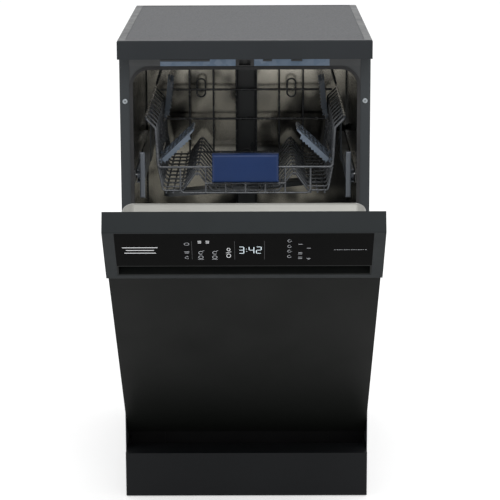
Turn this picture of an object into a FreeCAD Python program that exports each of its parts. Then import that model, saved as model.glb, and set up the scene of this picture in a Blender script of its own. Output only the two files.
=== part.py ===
"""Free-standing slimline dishwasher, 450 mm class, with its door partly open.

Frame: +Z up, the front faces -Y, +X is to the right seen from the front. The origin is on the floor,
in the middle of the worktop's footprint. The door parts are drawn shut and then turned to the rest
angle about the hinge. Millimetres.
"""
import FreeCAD
import Part
import math
import os

V = FreeCAD.Vector
X_AXIS = V(1, 0, 0)
Y_AXIS = V(0, 1, 0)
Z_AXIS = V(0, 0, 1)

# ---- overall sizes
TOTAL_W = 448.0            # worktop and console width
TOTAL_D = 600.0            # worktop depth
TOTAL_H = 845.0            # floor to worktop
WORKTOP_T = 33.0           # worktop thickness
SIDE_BAND = 14.0           # worktop rim, left and right
END_STRIP = 9.0            # worktop rim, front and rear
SHEET = 1.0                # painted and galvanised sheet
GAP = 0.5                  # loose fit between fixed parts that slide past in assembly
SEAM = 0.1                 # joint line between the panels that one assembly is welded or clipped from
RUNNING = 0.05             # radial clearance of a turning fit
CABINET_HALF = TOTAL_W / 2.0 - 1.0            # to the outer face of a side panel
CASE_FRONT_Y = -TOTAL_D / 2.0 + 41.1          # front plane of the cabinet, behind the shut door
CASE_BACK_Y = TOTAL_D / 2.0 - 12.0            # rear panel's outer face
WORKTOP_BOTTOM_Z = TOTAL_H - WORKTOP_T
PLINTH_AHEAD = 28.0        # kick plate in front of the cabinet, just behind the door's face
PLINTH_T = 2.5
PLINTH_HALF = CABINET_HALF - 1.0
PLINTH_TOP_Z = 84.0
PLINTH_BOTTOM_Z = 2.0
BASE_FLOOR_Z = 28.0
TRAY_WALL = 3.0
TRAY_FRONT_Y = CASE_FRONT_Y + 26.5
TRAY_STEP_Y = CASE_FRONT_Y + 80.9             # where the tray rises to the tub
TRAY_BACK_Y = CASE_BACK_Y - 26.0
LOW_RETURN_Z = PLINTH_TOP_Z + 8.0             # foot of the rear panel

# ---- tub
TUB_HALF_W = CABINET_HALF - 20.0              # inside
TUB_TOP_Z = TOTAL_H - 53.0
TUB_FLOOR_Z = 209.2
TUB_BACK_Y = CASE_BACK_Y - 50.0
TUB_WALL = 1.0
TUB_TOP_R = 33.0
TUB_BOTTOM_R = 3.5
GASKET_T = 3.5             # how far the gasket reaches into the opening
FLANGE_HALF_W = CABINET_HALF - 4.0
FLANGE_TOP_Z = WORKTOP_BOTTOM_Z - 6.0
FLANGE_BOTTOM_Z = TUB_FLOOR_Z - 9.2
RETURN_W = 17.5            # front return of a side panel
RETURN_BOTTOM_Z = FLANGE_BOTTOM_Z - 4.0       # above the sweep of the door's skirt
BASIN_HALF_W = TUB_HALF_W - 53.0
BASIN_FRONT_Y = CASE_FRONT_Y + 108.9
BASIN_BACK_Y = TUB_BACK_Y - 48.0
BASIN_DEPTH = 16.0
SUMP_R = 91.0
SUMP_DEPTH = 62.0
FLOOR_UNDER_Z = TUB_FLOOR_Z - TUB_WALL
BASIN_Z = TUB_FLOOR_Z - BASIN_DEPTH

# ---- door, drawn shut
HINGE_Y = CASE_FRONT_Y - 14.5
HINGE_Z = TUB_FLOOR_Z - 29.2
HINGE = V(0, HINGE_Y, HINGE_Z)
DOOR_REST_DEG = 45.8       # 0 is shut
DOOR_BACK_Y = CASE_FRONT_Y - 2.0
DOOR_TOP_Z = WORKTOP_BOTTOM_Z - 5.6
CONSOLE_EDGE_Y = DOOR_BACK_Y - 31.6           # top front edge of the console
CONSOLE_EDGE_Z = DOOR_TOP_Z - 12.4
CONSOLE_LOW_Y = DOOR_BACK_Y - 38.6            # bottom front edge of the console
CONSOLE_LOW_Z = DOOR_TOP_Z - 142.0
CONSOLE_WALL = 2.5
PANEL_Y = DOOR_BACK_Y - 31.3                  # front face of the lower panel
PANEL_HALF = TOTAL_W / 2.0 - 2.3
PANEL_BOTTOM_Z = PLINTH_TOP_Z + 9.6
LINER_HALF_W = PANEL_HALF - SHEET - 0.2
LINER_BOTTOM_Z = FLANGE_BOTTOM_Z - 7.0
BULGE_HALF_W = TUB_HALF_W - 8.5
BULGE_TOP_Z = TUB_TOP_Z - 7.0
BULGE_BOTTOM_Z = TUB_FLOOR_Z + 6.8
BULGE_DEPTH = 17.0
BULGE_R = 20.0
CREST_H = 85.0             # deeper step along the top of the raised field, above the baskets
CREST_DEPTH = 32.0
CREST_R = 8.0
WINDOW_HALF_W = TOTAL_W / 2.0 - 19.0
WINDOW_H = 90.0
WINDOW_T = 3.0
GRIP_H = 27.0
GRIP_DEPTH = 24.0
WINDOW_TOP_S = 2.2
WINDOW_BOTTOM_S = WINDOW_TOP_S + WINDOW_H
GRIP_BOTTOM_S = WINDOW_BOTTOM_S + GRIP_H

# ---- hinges and springs
PIVOT_R = 4.0
EYE_R = PIVOT_R + 4.0
BRACKET_X = CABINET_HALF - 17.0
BRACKET_T = 2.5
ARM_X = BRACKET_X + BRACKET_T + 2.1           # inner face of a hinge arm
HINGE_ARM_T = 2.8
PIN_END_X = ARM_X + HINGE_ARM_T + 0.6
STRAP_TOP_Z = HINGE_Z + 150.0
SPRING_X = ARM_X + HINGE_ARM_T / 2.0
SPRING_R = 6.0
SPRING_Z = HINGE_Z - 20.0
SPRING_Y = (TRAY_STEP_Y + 18.0, TRAY_STEP_Y + 158.0)
TAIL_Y, TAIL_Z = HINGE_Y + 14.0, HINGE_Z - 40.0

# ---- baskets
WIRE_R = 1.7
RIM_R = 2.3
HINGE_WIRE_R = 2.0
WIRE_BEND = 6.0            # bends of the upper basket's floor wires
WELD = 0.6                 # how far two crossing wires sink into each other
UPPER_HALF_W = TUB_HALF_W - 23.0
UPPER_FRONT_Y = CASE_FRONT_Y + 36.9
UPPER_BACK_Y = TUB_BACK_Y - 38.0
UPPER_RIM_Z = TUB_TOP_Z - 96.0
UPPER_REAR_Z = UPPER_RIM_Z + 42.0
UPPER_DEPTH = 134.0
UPPER_FLOOR_Z = UPPER_RIM_Z - UPPER_DEPTH
SIDE_LOW = (UPPER_HALF_W - 22.0, UPPER_FLOOR_Z + 44.0)    # corners of a floor wire's side, as (x, z)
SIDE_HIGH = (UPPER_HALF_W - 18.0, UPPER_RIM_Z - 18.0)
HUMP_X = 88.0
HUMP_Z = UPPER_FLOOR_Z + 36.0
FLOOR_WIRE_PITCH = 38.0
LOWER_HALF_W = TUB_HALF_W - 21.0
LOWER_FRONT_Y = CASE_FRONT_Y + 32.9
LOWER_BACK_Y = TUB_BACK_Y - 33.0
LOWER_FLOOR_Z = TUB_FLOOR_Z + 36.8
LOWER_RIM_Z = LOWER_FLOOR_Z + 146.0
LOWER_PITCH = 42.0
ROLLER_R = 9.7
ROLLER_W = 9.0
ROLLER_Z = UPPER_FLOOR_Z + 29.3
ROLLER_Y = (CASE_FRONT_Y + 44.9, CASE_FRONT_Y + 108.9)
ROLLER_PIN_R = 2.5
ROLLER_X = TUB_HALF_W - 16.0                  # inner face of a roller
CHANNEL_T = 1.5
CHANNEL_HALF_H = ROLLER_R + 0.3 + CHANNEL_T
WHEEL_R = 16.0
WHEEL_GAP = 0.3
WHEEL_X = TUB_HALF_W - 15.0                   # inner face of a wheel
WHEEL_W = 9.0
WHEEL_Z = TUB_FLOOR_Z + WHEEL_GAP + WHEEL_R
WHEEL_Y = (LOWER_FRONT_Y + 30.0, LOWER_BACK_Y - 37.0)
AXLE_R = 3.0
SHELF_LEN = 100.0
SHELF_REACH = 84.0
SHELF_T = 3.0
SHELF_START = 8.0          # from the floor wire before it
SHELF_BARREL_LEN = 18.0
SHELF_BARRELS = [FLOOR_WIRE_PITCH * (k + 0.5) - SHELF_START - SHELF_BARREL_LEN / 2.0 for k in (0, 2)]
FRONT_SHELF_Z = UPPER_FLOOR_Z + 52.0
REAR_SHELF_Z = UPPER_FLOOR_Z + 90.0
FRONT_SHELF_DEG = 43.0
REAR_SHELF_DEG = 84.0

# ---- spray arms
ARM_HUB_Y = -12.0
ARM_CHORD = 44.0
ARM_T = 10.0
STALK_R = 11.0
LOWER_ARM_R = TUB_HALF_W - 19.0
LOWER_ARM_Z = TUB_FLOOR_Z + 9.8
UPPER_ARM_R = TUB_HALF_W - 35.0
UPPER_ARM_Z = UPPER_FLOOR_Z - 32.0
UPPER_FEED_Z = UPPER_FLOOR_Z - 18.0
UPPER_ARM_TURN_DEG = 24.0
LOWER_ARM_TURN_DEG = -35.0
DUCT_HALF_W = 21.0
DUCT_Y = TUB_BACK_Y - 19.0

# ---- fittings
SCREW_X = CABINET_HALF - 9.5
SCREW_Z = TUB_TOP_Z - 60.0
CROSSBAR_HALF = CABINET_HALF - RETURN_W - GAP
LATCH_HALF_W = 16.0
FOOT_X = CABINET_HALF - 35.0
FOOT_PLACES = [(sx * FOOT_X, fy) for fy in (TRAY_FRONT_Y + 27.4, TRAY_BACK_Y - 30.0) for sx in (-1, 1)]
FOOT_STUD_R = 4.0
FOOT_BOSS_H = 34.0
INLET_X, INLET_Z = -CABINET_HALF + 73.0, 62.0
DRAIN_X, DRAIN_Z = CABINET_HALF - 103.0, 62.0
GLAND_X, GLAND_Z = CABINET_HALF - 51.0, 62.0
INLET_SPOUT_R = 13.2
DRAIN_STUB_R = 10.5
GLAND_BORE_R = 4.0
SALT_R = 24.0
SALT_X, SALT_Y = -BASIN_HALF_W + SALT_R + 8.0, 120.0
FILTER_X, FILTER_Y, FILTER_R = 46.0, 34.0, 30.0
PUMP_Y = 20.0
PUMP_PORT_L = 12.0
DRAIN_PUMP_Y = 30.0
DISP_X0, DISP_X1 = -70.0, 84.0
DISP_Z0, DISP_Z1 = BULGE_TOP_Z - 353.0, BULGE_TOP_Z - 249.0
CUP_X0, CUP_X1 = -58.0, 2.0
CUP_Z0, CUP_Z1 = DISP_Z0 + 38.0, DISP_Z1 - 12.0
RINSE_X, RINSE_Z, RINSE_R = 48.0, DISP_Z0 + 58.0, 18.0

os.makedirs("parts", exist_ok=True)


# ---- helpers
def box(x0, x1, y0, y1, z0, z1):
    return Part.makeBox(x1 - x0, y1 - y0, z1 - z0, V(x0, y0, z0))


def rod(start, axis, length, radius):
    return Part.makeCylinder(radius, length, start, axis)


def rod_between(a, b, radius):
    return Part.makeCylinder(radius, (b - a).Length, a, b - a)


def tube(start, axis, length, outer, inner):
    return rod(start, axis, length, outer).cut(rod(start, axis, length, inner))


def fuse(shapes):
    shapes = list(shapes)
    return shapes[0].multiFuse(shapes[1:]) if len(shapes) > 1 else shapes[0]


def parted(shape, seams):
    """The separate panels that are left when thin joint lines are taken out of a shape."""
    return Part.makeCompound(shape.cut(fuse([box(*seam) for seam in seams])).Solids)


def mirrored(shape):
    return shape.mirror(V(0, 0, 0), X_AXIS)


def both_sides(shape):
    return Part.makeCompound([shape, mirrored(shape)])


def rounded_front(x0, x1, z0, z1, y0, y1, top_r, bottom_r):
    """A block that runs along Y, with its four long edges rounded."""
    block = box(x0, x1, y0, y1, z0, z1)
    for level, radius in ((z1, top_r), (z0, bottom_r)):
        if radius > 0:
            edges = [e for e in block.Edges if runs_along_y_at(e, (x0, x1), level)]
            block = block.makeFillet(radius, edges)
    return block


def runs_along_y_at(edge, xs, level):
    a, b = edge.Vertexes[0].Point, edge.Vertexes[-1].Point
    along_y = abs(a.x - b.x) < 1e-6 and abs(a.z - b.z) < 1e-6
    return along_y and abs(a.z - level) < 1e-6 and min(abs(a.x - x) for x in xs) < 1e-6


def prism_x(points, x0, x1):
    """A solid from an outline of (y, z) points, drawn from x0 to x1."""
    loop = [V(x0, y, z) for y, z in points]
    return Part.Face(Part.makePolygon(loop + loop[:1])).extrude(V(x1 - x0, 0, 0))


def path(points, bend, closed=False):
    """Straight runs joined by tangent arcs of radius bend."""
    pts = [V(*p) for p in points]
    count = len(pts)
    joints = []
    for i in range(count):
        if not closed and i in (0, count - 1):
            joints.append((pts[i], None, pts[i]))
            continue
        before, here, after = pts[i - 1], pts[i], pts[(i + 1) % count]
        u = (before - here).normalize()
        w = (after - here).normalize()
        half = u.getAngle(w) / 2.0
        reach = bend / math.tan(half)
        middle = (u + w).normalize() * (bend / math.sin(half) - bend)
        joints.append((here + u * reach, here + middle, here + w * reach))
    edges = []
    for i, (first, mid, last) in enumerate(joints):
        if mid is not None:
            edges.append(Part.Arc(first, mid, last).toShape())
        if closed or i < count - 1:
            edges.append(Part.LineSegment(last, joints[(i + 1) % count][0]).toShape())
    return Part.Wire(edges)


def bent_wire(points, bend, radius, closed=False):
    """A round wire of the given radius along a path."""
    line = path(points, bend, closed)
    first = line.Edges[0]
    start = first.valueAt(first.FirstParameter)
    ring = Part.Wire(Part.makeCircle(radius, start, first.tangentAt(first.FirstParameter)))
    return line.makePipeShell([ring], True, False)


def swung(shape, degrees=DOOR_REST_DEG):
    """A door part turned from shut to the given angle."""
    turned = shape.copy()
    turned.rotate(HINGE, X_AXIS, degrees)
    return turned


def save(name, shape):
    if shape.ShapeType == "Compound" and len(shape.Solids) == 1:
        shape = shape.Solids[0]
    shape.exportStep("parts/%s.step" % name)


# ---- worktop
def worktop():
    """A laminated board in a moulded rim: front strip, two side bands and a rear strip."""
    half = TOTAL_W / 2.0
    front, back = -TOTAL_D / 2.0, TOTAL_D / 2.0
    band, strip = SIDE_BAND, END_STRIP
    outer = box(-half, half, front, back, WORKTOP_BOTTOM_Z, TOTAL_H)
    outer = outer.makeFillet(2.5, [e for e in outer.Edges if abs(e.CenterOfMass.z - TOTAL_H) < 1e-6])
    inner = box(-half + band, half - band, front + strip, back - strip, WORKTOP_BOTTOM_Z, TOTAL_H)
    frame = outer.cut(inner)
    board = box(-half + band, half - band, front + strip, back - strip, WORKTOP_BOTTOM_Z, TOTAL_H - 0.6)
    save("worktop_frame", frame)
    save("worktop_board", board)


# ---- cabinet
def side_panel():
    """Right-hand panel: outer sheet, front return and rear return."""
    x1 = CABINET_HALF
    sheet = box(x1 - SHEET, x1, CASE_FRONT_Y, CASE_BACK_Y, BASE_FLOOR_Z, WORKTOP_BOTTOM_Z)
    front = box(x1 - RETURN_W, x1, CASE_FRONT_Y, CASE_FRONT_Y + SHEET, RETURN_BOTTOM_Z, WORKTOP_BOTTOM_Z)
    rear = box(x1 - 12, x1, CASE_BACK_Y - SHEET, CASE_BACK_Y, LOW_RETURN_Z - 2, WORKTOP_BOTTOM_Z)
    hole = rod(V(SCREW_X, CASE_FRONT_Y - 1, SCREW_Z), Y_AXIS, 4, 2.1)
    return fuse([sheet, front, rear]).cut(hole)


def rear_panel():
    x = CABINET_HALF - SHEET - 0.2
    return box(-x, x, CASE_BACK_Y - 2 * SHEET, CASE_BACK_Y - SHEET, FLOOR_UNDER_Z - 2.2, WORKTOP_BOTTOM_Z)


def top_crossbar():
    """Galvanised beam over the opening: a face with notches and a shelf under the worktop."""
    y0 = CASE_FRONT_Y
    z0, z1 = TUB_TOP_Z + 3, WORKTOP_BOTTOM_Z
    face = box(-CROSSBAR_HALF, CROSSBAR_HALF, y0, y0 + SHEET, z0, z1)
    shelf = box(-CROSSBAR_HALF, CROSSBAR_HALF, y0, y0 + 45, z1 - SHEET, z1)
    bar = face.fuse(shelf)
    for x0, x1 in ((-150, -62), (32, 48), (82, 102)):
        bar = bar.cut(box(x0, x1, y0 - 1, y0 + 2, z1 - 9, z1 - SHEET - 1.5))
    latch_gap = box(-LATCH_HALF_W - 0.3, LATCH_HALF_W + 0.3, y0 - 1, y0 + 30, z0 - 1, z1 - SHEET)
    return bar.cut(latch_gap)


def latch_housing():
    y0 = CASE_FRONT_Y
    z0, z1 = TUB_TOP_Z + 2.6, WORKTOP_BOTTOM_Z - SHEET
    body = box(-LATCH_HALF_W, LATCH_HALF_W, y0, y0 + 24, z0, z1)
    mouth = box(-10, 10, y0 - 1, y0 + 17, z0 + 1.6, z0 + 10.5)
    pawl = box(-4, 4, y0 + 13, y0 + 17, z0 + 1.6, z0 + 10.5)
    return body.cut(mouth).fuse(pawl)


def flange_screws():
    """Pan heads that hold the side panels' returns to the tub's flange."""
    out = []
    for x in (-SCREW_X, SCREW_X):
        head = rod(V(x, CASE_FRONT_Y, SCREW_Z), V(0, -1, 0), 1.4, 4.6)
        head = head.makeFillet(0.9, [e for e in head.Edges if abs(e.CenterOfMass.y - CASE_FRONT_Y + 1.4) < 1e-3])
        slot_a = box(x - 2.4, x + 2.4, CASE_FRONT_Y - 2, CASE_FRONT_Y - 0.7, SCREW_Z - 0.45, SCREW_Z + 0.45)
        slot_b = box(x - 0.45, x + 0.45, CASE_FRONT_Y - 2, CASE_FRONT_Y - 0.7, SCREW_Z - 2.4, SCREW_Z + 2.4)
        shank = rod(V(x, CASE_FRONT_Y, SCREW_Z), Y_AXIS, 9, 2.0)
        out.append(head.fuse(shank).cut(slot_a).cut(slot_b))
    return Part.makeCompound(out)


def base_tray():
    """Base clipped from flat panels: low in front, where the door's skirt swings in, high behind."""
    x, wall, z0 = CABINET_HALF - SHEET - GAP, TRAY_WALL, BASE_FLOOR_Z
    y0, ym, y1 = TRAY_FRONT_Y, TRAY_STEP_Y, TRAY_BACK_Y
    ledge_x = TUB_HALF_W - 15
    floor = box(-x, x, y0, y1, z0, z0 + wall)
    low_front = box(-x, x, y0, y0 + wall, z0, PLINTH_TOP_Z)
    low_sides = [box(s * x - (wall if s > 0 else 0), s * x + (0 if s > 0 else wall), y0, ym, z0, PLINTH_TOP_Z)
                 for s in (-1, 1)]
    high_front = box(-x, x, ym, ym + wall, z0, FLOOR_UNDER_Z)
    high_rear = box(-x, x, y1 - wall, y1, z0, FLOOR_UNDER_Z)
    high_sides = [box(s * x - (wall if s > 0 else 0), s * x + (0 if s > 0 else wall), ym, y1, z0, FLOOR_UNDER_Z)
                  for s in (-1, 1)]
    ledges = [box(min(s * x, s * ledge_x), max(s * x, s * ledge_x), ym, y1, FLOOR_UNDER_Z - wall, FLOOR_UNDER_Z)
              for s in (-1, 1)]
    bosses = [rod(V(fx, fy, z0), Z_AXIS, FOOT_BOSS_H, 10) for fx, fy in FOOT_PLACES]
    posts = [spring_anchor_block(), mirrored(spring_anchor_block())]
    tray = fuse([floor, low_front, high_front, high_rear] + low_sides + high_sides + ledges + bosses + posts)
    tray = tray.cut(box(-BASIN_HALF_W - 4, BASIN_HALF_W + 4, ym - 1, ym + wall + 1, BASIN_Z - 40, FLOOR_UNDER_Z + 1))
    for fx, fy in FOOT_PLACES:
        tray = tray.cut(rod(V(fx, fy, z0 - 1), Z_AXIS, FOOT_BOSS_H - 4, FOOT_STUD_R + 0.1))
    notch = box(BRACKET_X - 4, PIN_END_X + 3.5, ym - 1, ym + wall + 1, SPRING_Z - 14, FLOOR_UNDER_Z - wall)
    tray = tray.cut(notch).cut(mirrored(notch))
    inlet_hole = rod(V(INLET_X, y1 - wall - 1, INLET_Z), Y_AXIS, 6, INLET_SPOUT_R + 3.8)
    drain_hole = rod(V(DRAIN_X, y1 - wall - 1, DRAIN_Z), Y_AXIS, 6, DRAIN_STUB_R + 1.5)
    gland_hole = rod(V(GLAND_X, y1 - wall - 1, GLAND_Z), Y_AXIS, 6, GLAND_BORE_R + 5.1)
    tray = tray.cut(inlet_hole).cut(drain_hole).cut(gland_hole)
    top, deck, window_x = FLOOR_UNDER_Z + 1, z0 + wall, BASIN_HALF_W + 4
    seams = [(-x - 1, x + 1, y0 - 1, y1 + 1, deck, deck + SEAM)]
    for s in (-1, 1):
        inner = s * (x - wall - SEAM / 2.0)
        seams.append((inner - SEAM / 2.0, inner + SEAM / 2.0, y0 - 1, y1 + 1, deck, top))
        seams.append((s * x - 5, s * x + 5, ym, ym + SEAM, deck, top))
        seams.append((s * window_x - SEAM / 2.0, s * window_x + SEAM / 2.0, ym - 1, ym + wall, deck, top))
    for y in (ym + wall, y1 - wall - SEAM):
        seams.append((-x + wall, x - wall, y, y + SEAM, deck, top))
    return parted(tray, seams)


def levelling_feet():
    """Hexagonal foot pads on threaded studs."""
    out = []
    for fx, fy in FOOT_PLACES:
        pad = rod(V(fx, fy, 0), Z_AXIS, 7, 17)
        nut_points = [V(fx + 11 * math.cos(k * math.pi / 3), fy + 11 * math.sin(k * math.pi / 3), 7)
                      for k in range(6)]
        nut = Part.Face(Part.makePolygon(nut_points + nut_points[:1])).extrude(V(0, 0, 9))
        stud = rod(V(fx, fy, 16), Z_AXIS, BASE_FLOOR_Z + FOOT_BOSS_H - 8 - 16, FOOT_STUD_R)
        out.append(fuse([pad, nut, stud]))
    return Part.makeCompound(out)


def kick_plate():
    """Painted plinth, folded back at both ends and along its top to the base."""
    x, y0, y1, t = PLINTH_HALF, CASE_FRONT_Y - PLINTH_AHEAD, CASE_FRONT_Y - GAP, PLINTH_T
    cover = box(-x, x, y0, y1, PLINTH_BOTTOM_Z, PLINTH_TOP_Z)
    corners = [e for e in cover.Edges if abs(e.CenterOfMass.y - y0) < 1e-6
               and abs(e.Vertexes[0].Point.z - e.Vertexes[-1].Point.z) > 1]
    cover = cover.makeFillet(PLINTH_T + 1.0, corners)
    cover = cover.cut(box(-x + t, x - t, y0 + t, y1 + 1, PLINTH_BOTTOM_Z - 1, PLINTH_TOP_Z - t))
    lip = box(-x + 1, x - 1, y0 + t, TRAY_FRONT_Y, PLINTH_TOP_Z - t, PLINTH_TOP_Z)
    return cover.fuse(lip)


def tub():
    """Welded stainless shell, open in front: front frame, wrapper, back, floor, two coves and sump basin."""
    y0 = CASE_FRONT_Y + SHEET
    x, wall = TUB_HALF_W, TUB_WALL
    outer = rounded_front(-x - wall, x + wall, TUB_FLOOR_Z - wall, TUB_TOP_Z + wall, y0, TUB_BACK_Y + wall,
                          TUB_TOP_R + wall, TUB_BOTTOM_R + wall)
    flange = box(-FLANGE_HALF_W, FLANGE_HALF_W, y0, y0 + wall, FLANGE_BOTTOM_Z, FLANGE_TOP_Z)
    pan = box(-BASIN_HALF_W - wall, BASIN_HALF_W + wall, BASIN_FRONT_Y - wall, BASIN_BACK_Y + wall,
              BASIN_Z - wall, TUB_FLOOR_Z)
    inner = rounded_front(-x, x, TUB_FLOOR_Z, TUB_TOP_Z, y0 - 1, TUB_BACK_Y, TUB_TOP_R, TUB_BOTTOM_R)
    basin = box(-BASIN_HALF_W, BASIN_HALF_W, BASIN_FRONT_Y, BASIN_BACK_Y, BASIN_Z, TUB_FLOOR_Z + 1)
    shell = fuse([outer, flange, pan]).cut(inner).cut(basin)
    shell = shell.cut(rod(V(0, 0, BASIN_Z - 5), Z_AXIS, 10, SUMP_R))
    shell = shell.cut(rod(V(SALT_X, SALT_Y, BASIN_Z - 5), Z_AXIS, 10, SALT_R + 0.5))
    latch_gap = box(-LATCH_HALF_W - 1, LATCH_HALF_W + 1, y0 - 1, y0 + 2, TUB_TOP_Z + 2, FLANGE_TOP_Z + 1)
    shell = shell.cut(latch_gap)
    for s in (-1, 1):
        shell = shell.cut(rod(V(s * SCREW_X, y0 - 1, SCREW_Z), Y_AXIS, 4, 2.1))
    wide, low, high, back = CABINET_HALF, BASIN_Z - 2 * wall, FLANGE_TOP_Z + 1, TUB_BACK_Y - SEAM
    lip, flat = TUB_FLOOR_Z + TUB_BOTTOM_R, TUB_HALF_W - TUB_BOTTOM_R
    return parted(shell, [
        (flat, flat + SEAM, y0 + wall, back, FLOOR_UNDER_Z - SEAM, lip),
        (-flat - SEAM, -flat, y0 + wall, back, FLOOR_UNDER_Z - SEAM, lip),
        (-wide, wide, y0 + wall, y0 + wall + SEAM, low, high),
        (-wide, wide, back, TUB_BACK_Y, low, high),
        (-wide, wide, y0 + wall, back, lip, lip + SEAM),
        (-wide, wide, y0 + wall, back, FLOOR_UNDER_Z - SEAM, FLOOR_UNDER_Z),
        (-wide, wide, y0 + wall, back, BASIN_Z, BASIN_Z + SEAM)])


def tub_gasket():
    """Rubber lip along the sides and top of the opening."""
    x, lip, depth, thick = TUB_HALF_W, 2.2, 9.0, GASKET_T
    y0 = CASE_FRONT_Y
    low = TUB_FLOOR_Z + 6
    front = rounded_front(-x - lip, x + lip, 100, TUB_TOP_Z + lip, y0 - 1.0, y0 + SHEET, TUB_TOP_R + lip, 0)
    slack = 0.3
    body = rounded_front(-x + slack, x - slack, 100, TUB_TOP_Z - slack, y0, y0 + depth, TUB_TOP_R - slack, 0)
    hole = rounded_front(-x + thick, x - thick, 90, TUB_TOP_Z - thick, y0 - 3, y0 + depth + 2,
                         TUB_TOP_R - thick, 0)
    return front.fuse(body).cut(hole).cut(box(-x - 20, x + 20, y0 - 5, y0 + 20, 50, low))


def hinge_bracket():
    """Right-hand steel bracket on the base, with the pivot pin riveted in."""
    x0, x1 = BRACKET_X, BRACKET_X + BRACKET_T
    back = TRAY_STEP_Y + 6
    boss = rod(V(x0, HINGE_Y, HINGE_Z), X_AXIS, x1 - x0, EYE_R)
    bar = box(x0, x1, HINGE_Y, back, HINGE_Z - 6, HINGE_Z + 6)
    foot = box(x0, x1, back, back + 62, HINGE_Z - 6, FLOOR_UNDER_Z - TRAY_WALL)
    pin = rod(V(x0 - 1.5, HINGE_Y, HINGE_Z), X_AXIS, PIN_END_X - x0 + 1.5, PIVOT_R)
    rivet = rod(V(x0 - 1.5, HINGE_Y, HINGE_Z), X_AXIS, 1.5, PIVOT_R + 2)
    return fuse([boss, bar, foot, pin, rivet])


def tail_at_rest():
    angle = math.radians(DOOR_REST_DEG)
    dy, dz = TAIL_Y - HINGE_Y, TAIL_Z - HINGE_Z
    return (HINGE_Y + dy * math.cos(angle) - dz * math.sin(angle),
            HINGE_Z + dy * math.sin(angle) + dz * math.cos(angle))


def balance_spring():
    """Right-hand door spring: a close-wound coil with a cord to the hinge arm and a hook behind."""
    z, wire, outer = SPRING_Z, 1.4, SPRING_R
    y0, y1 = SPRING_Y
    turns = 30
    pitch = (y1 - y0) / turns
    edges = [Part.LineSegment(V(0, y0, 0), V(0, y0, outer - wire)).toShape()]
    for k in range(turns):
        a = V(0, y0 + k * pitch, outer - wire)
        b = V(0, y0 + (k + 1) * pitch, outer - wire)
        crest = V(0, y0 + (k + 0.5) * pitch, outer)
        edges.append(Part.Arc(a, crest, b).toShape())
    edges.append(Part.LineSegment(V(0, y1, outer - wire), V(0, y1, 0)).toShape())
    edges.append(Part.LineSegment(V(0, y1, 0), V(0, y0, 0)).toShape())
    coil = Part.Face(Part.Wire(edges)).revolve(V(0, 0, 0), Y_AXIS, 360)
    coil.translate(V(SPRING_X, 0, z))
    tip_y, tip_z = tail_at_rest()
    cord_start = V(SPRING_X, tip_y + 4.4, tip_z)
    cord = rod_between(cord_start, V(SPRING_X, y0 + 1, z), 1.3)
    hook = rod_between(V(SPRING_X, y1 - 1, z), V(SPRING_X, y1 + 16, z), 1.6)
    return fuse([coil, cord, hook])


def spring_anchor_block():
    """Post on the base that the rear hooks of the springs hold on."""
    y0 = SPRING_Y[1] + 16
    return box(BRACKET_X, CABINET_HALF - 4.5, y0, y0 + 12, SPRING_Z - 40, SPRING_Z + 15)


# ---- wet parts
def sump():
    """Plastic bowl under the basin with the stalk that feeds the lower spray arm."""
    z1 = BASIN_Z - TUB_WALL
    bowl = rod(V(0, 0, z1 - SUMP_DEPTH), Z_AXIS, SUMP_DEPTH, SUMP_R + 6)
    bowl = bowl.cut(rod(V(0, 0, z1 - SUMP_DEPTH + 3), Z_AXIS, SUMP_DEPTH, SUMP_R))
    stalk = rod(V(0, ARM_HUB_Y, z1 - SUMP_DEPTH), Z_AXIS, LOWER_ARM_Z + 7 - z1 + SUMP_DEPTH, STALK_R)
    collar = rod(V(0, ARM_HUB_Y, z1 - SUMP_DEPTH), Z_AXIS, LOWER_ARM_Z - 11.5 - z1 + SUMP_DEPTH, STALK_R + 7)
    outlet = rod(V(SUMP_R, DRAIN_PUMP_Y, z1 - 40), X_AXIS, 22, 13)
    pump_port = rod(V(-SUMP_R, PUMP_Y, z1 - 40), V(-1, 0, 0), PUMP_PORT_L, 15)
    return fuse([bowl, stalk, collar, outlet, pump_port])


def fine_filter():
    """Flat stainless sieve over the sump with holes for the arm's stalk and the coarse filter."""
    plate = rod(V(0, 0, BASIN_Z), Z_AXIS, 1.5, SUMP_R + 6)
    plate = plate.cut(rod(V(0, ARM_HUB_Y, BASIN_Z - 1), Z_AXIS, 4, STALK_R + 7.3))
    return plate.cut(rod(V(FILTER_X, FILTER_Y, BASIN_Z - 1), Z_AXIS, 4, FILTER_R + 0.4))


def coarse_filter():
    """Twist-out filter basket: open cup with a collar and a grip bar."""
    z0, z1 = BASIN_Z - TUB_WALL - SUMP_DEPTH + 5, BASIN_Z + 12
    cup = tube(V(FILTER_X, FILTER_Y, z0), Z_AXIS, z1 - z0, FILTER_R, FILTER_R - 2.5)
    base = rod(V(FILTER_X, FILTER_Y, z0), Z_AXIS, 3, FILTER_R)
    collar = tube(V(FILTER_X, FILTER_Y, BASIN_Z + 1.8), Z_AXIS, 3, FILTER_R + 5, FILTER_R - 2.5)
    grip = box(FILTER_X - FILTER_R + 1, FILTER_X + FILTER_R - 1, FILTER_Y - 2, FILTER_Y + 2, z1 - 8, z1)
    ring = fuse([cup, base, collar, grip])
    for k in range(10):
        angle = 2 * math.pi * k / 10 + 0.3
        slot = box(FILTER_R - 6, FILTER_R + 2, -3.5, 3.5, z0 + 10, BASIN_Z - 12)
        slot.rotate(V(0, 0, 0), Z_AXIS, math.degrees(angle))
        slot.translate(V(FILTER_X, FILTER_Y, 0))
        ring = ring.cut(slot)
    return ring


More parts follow.
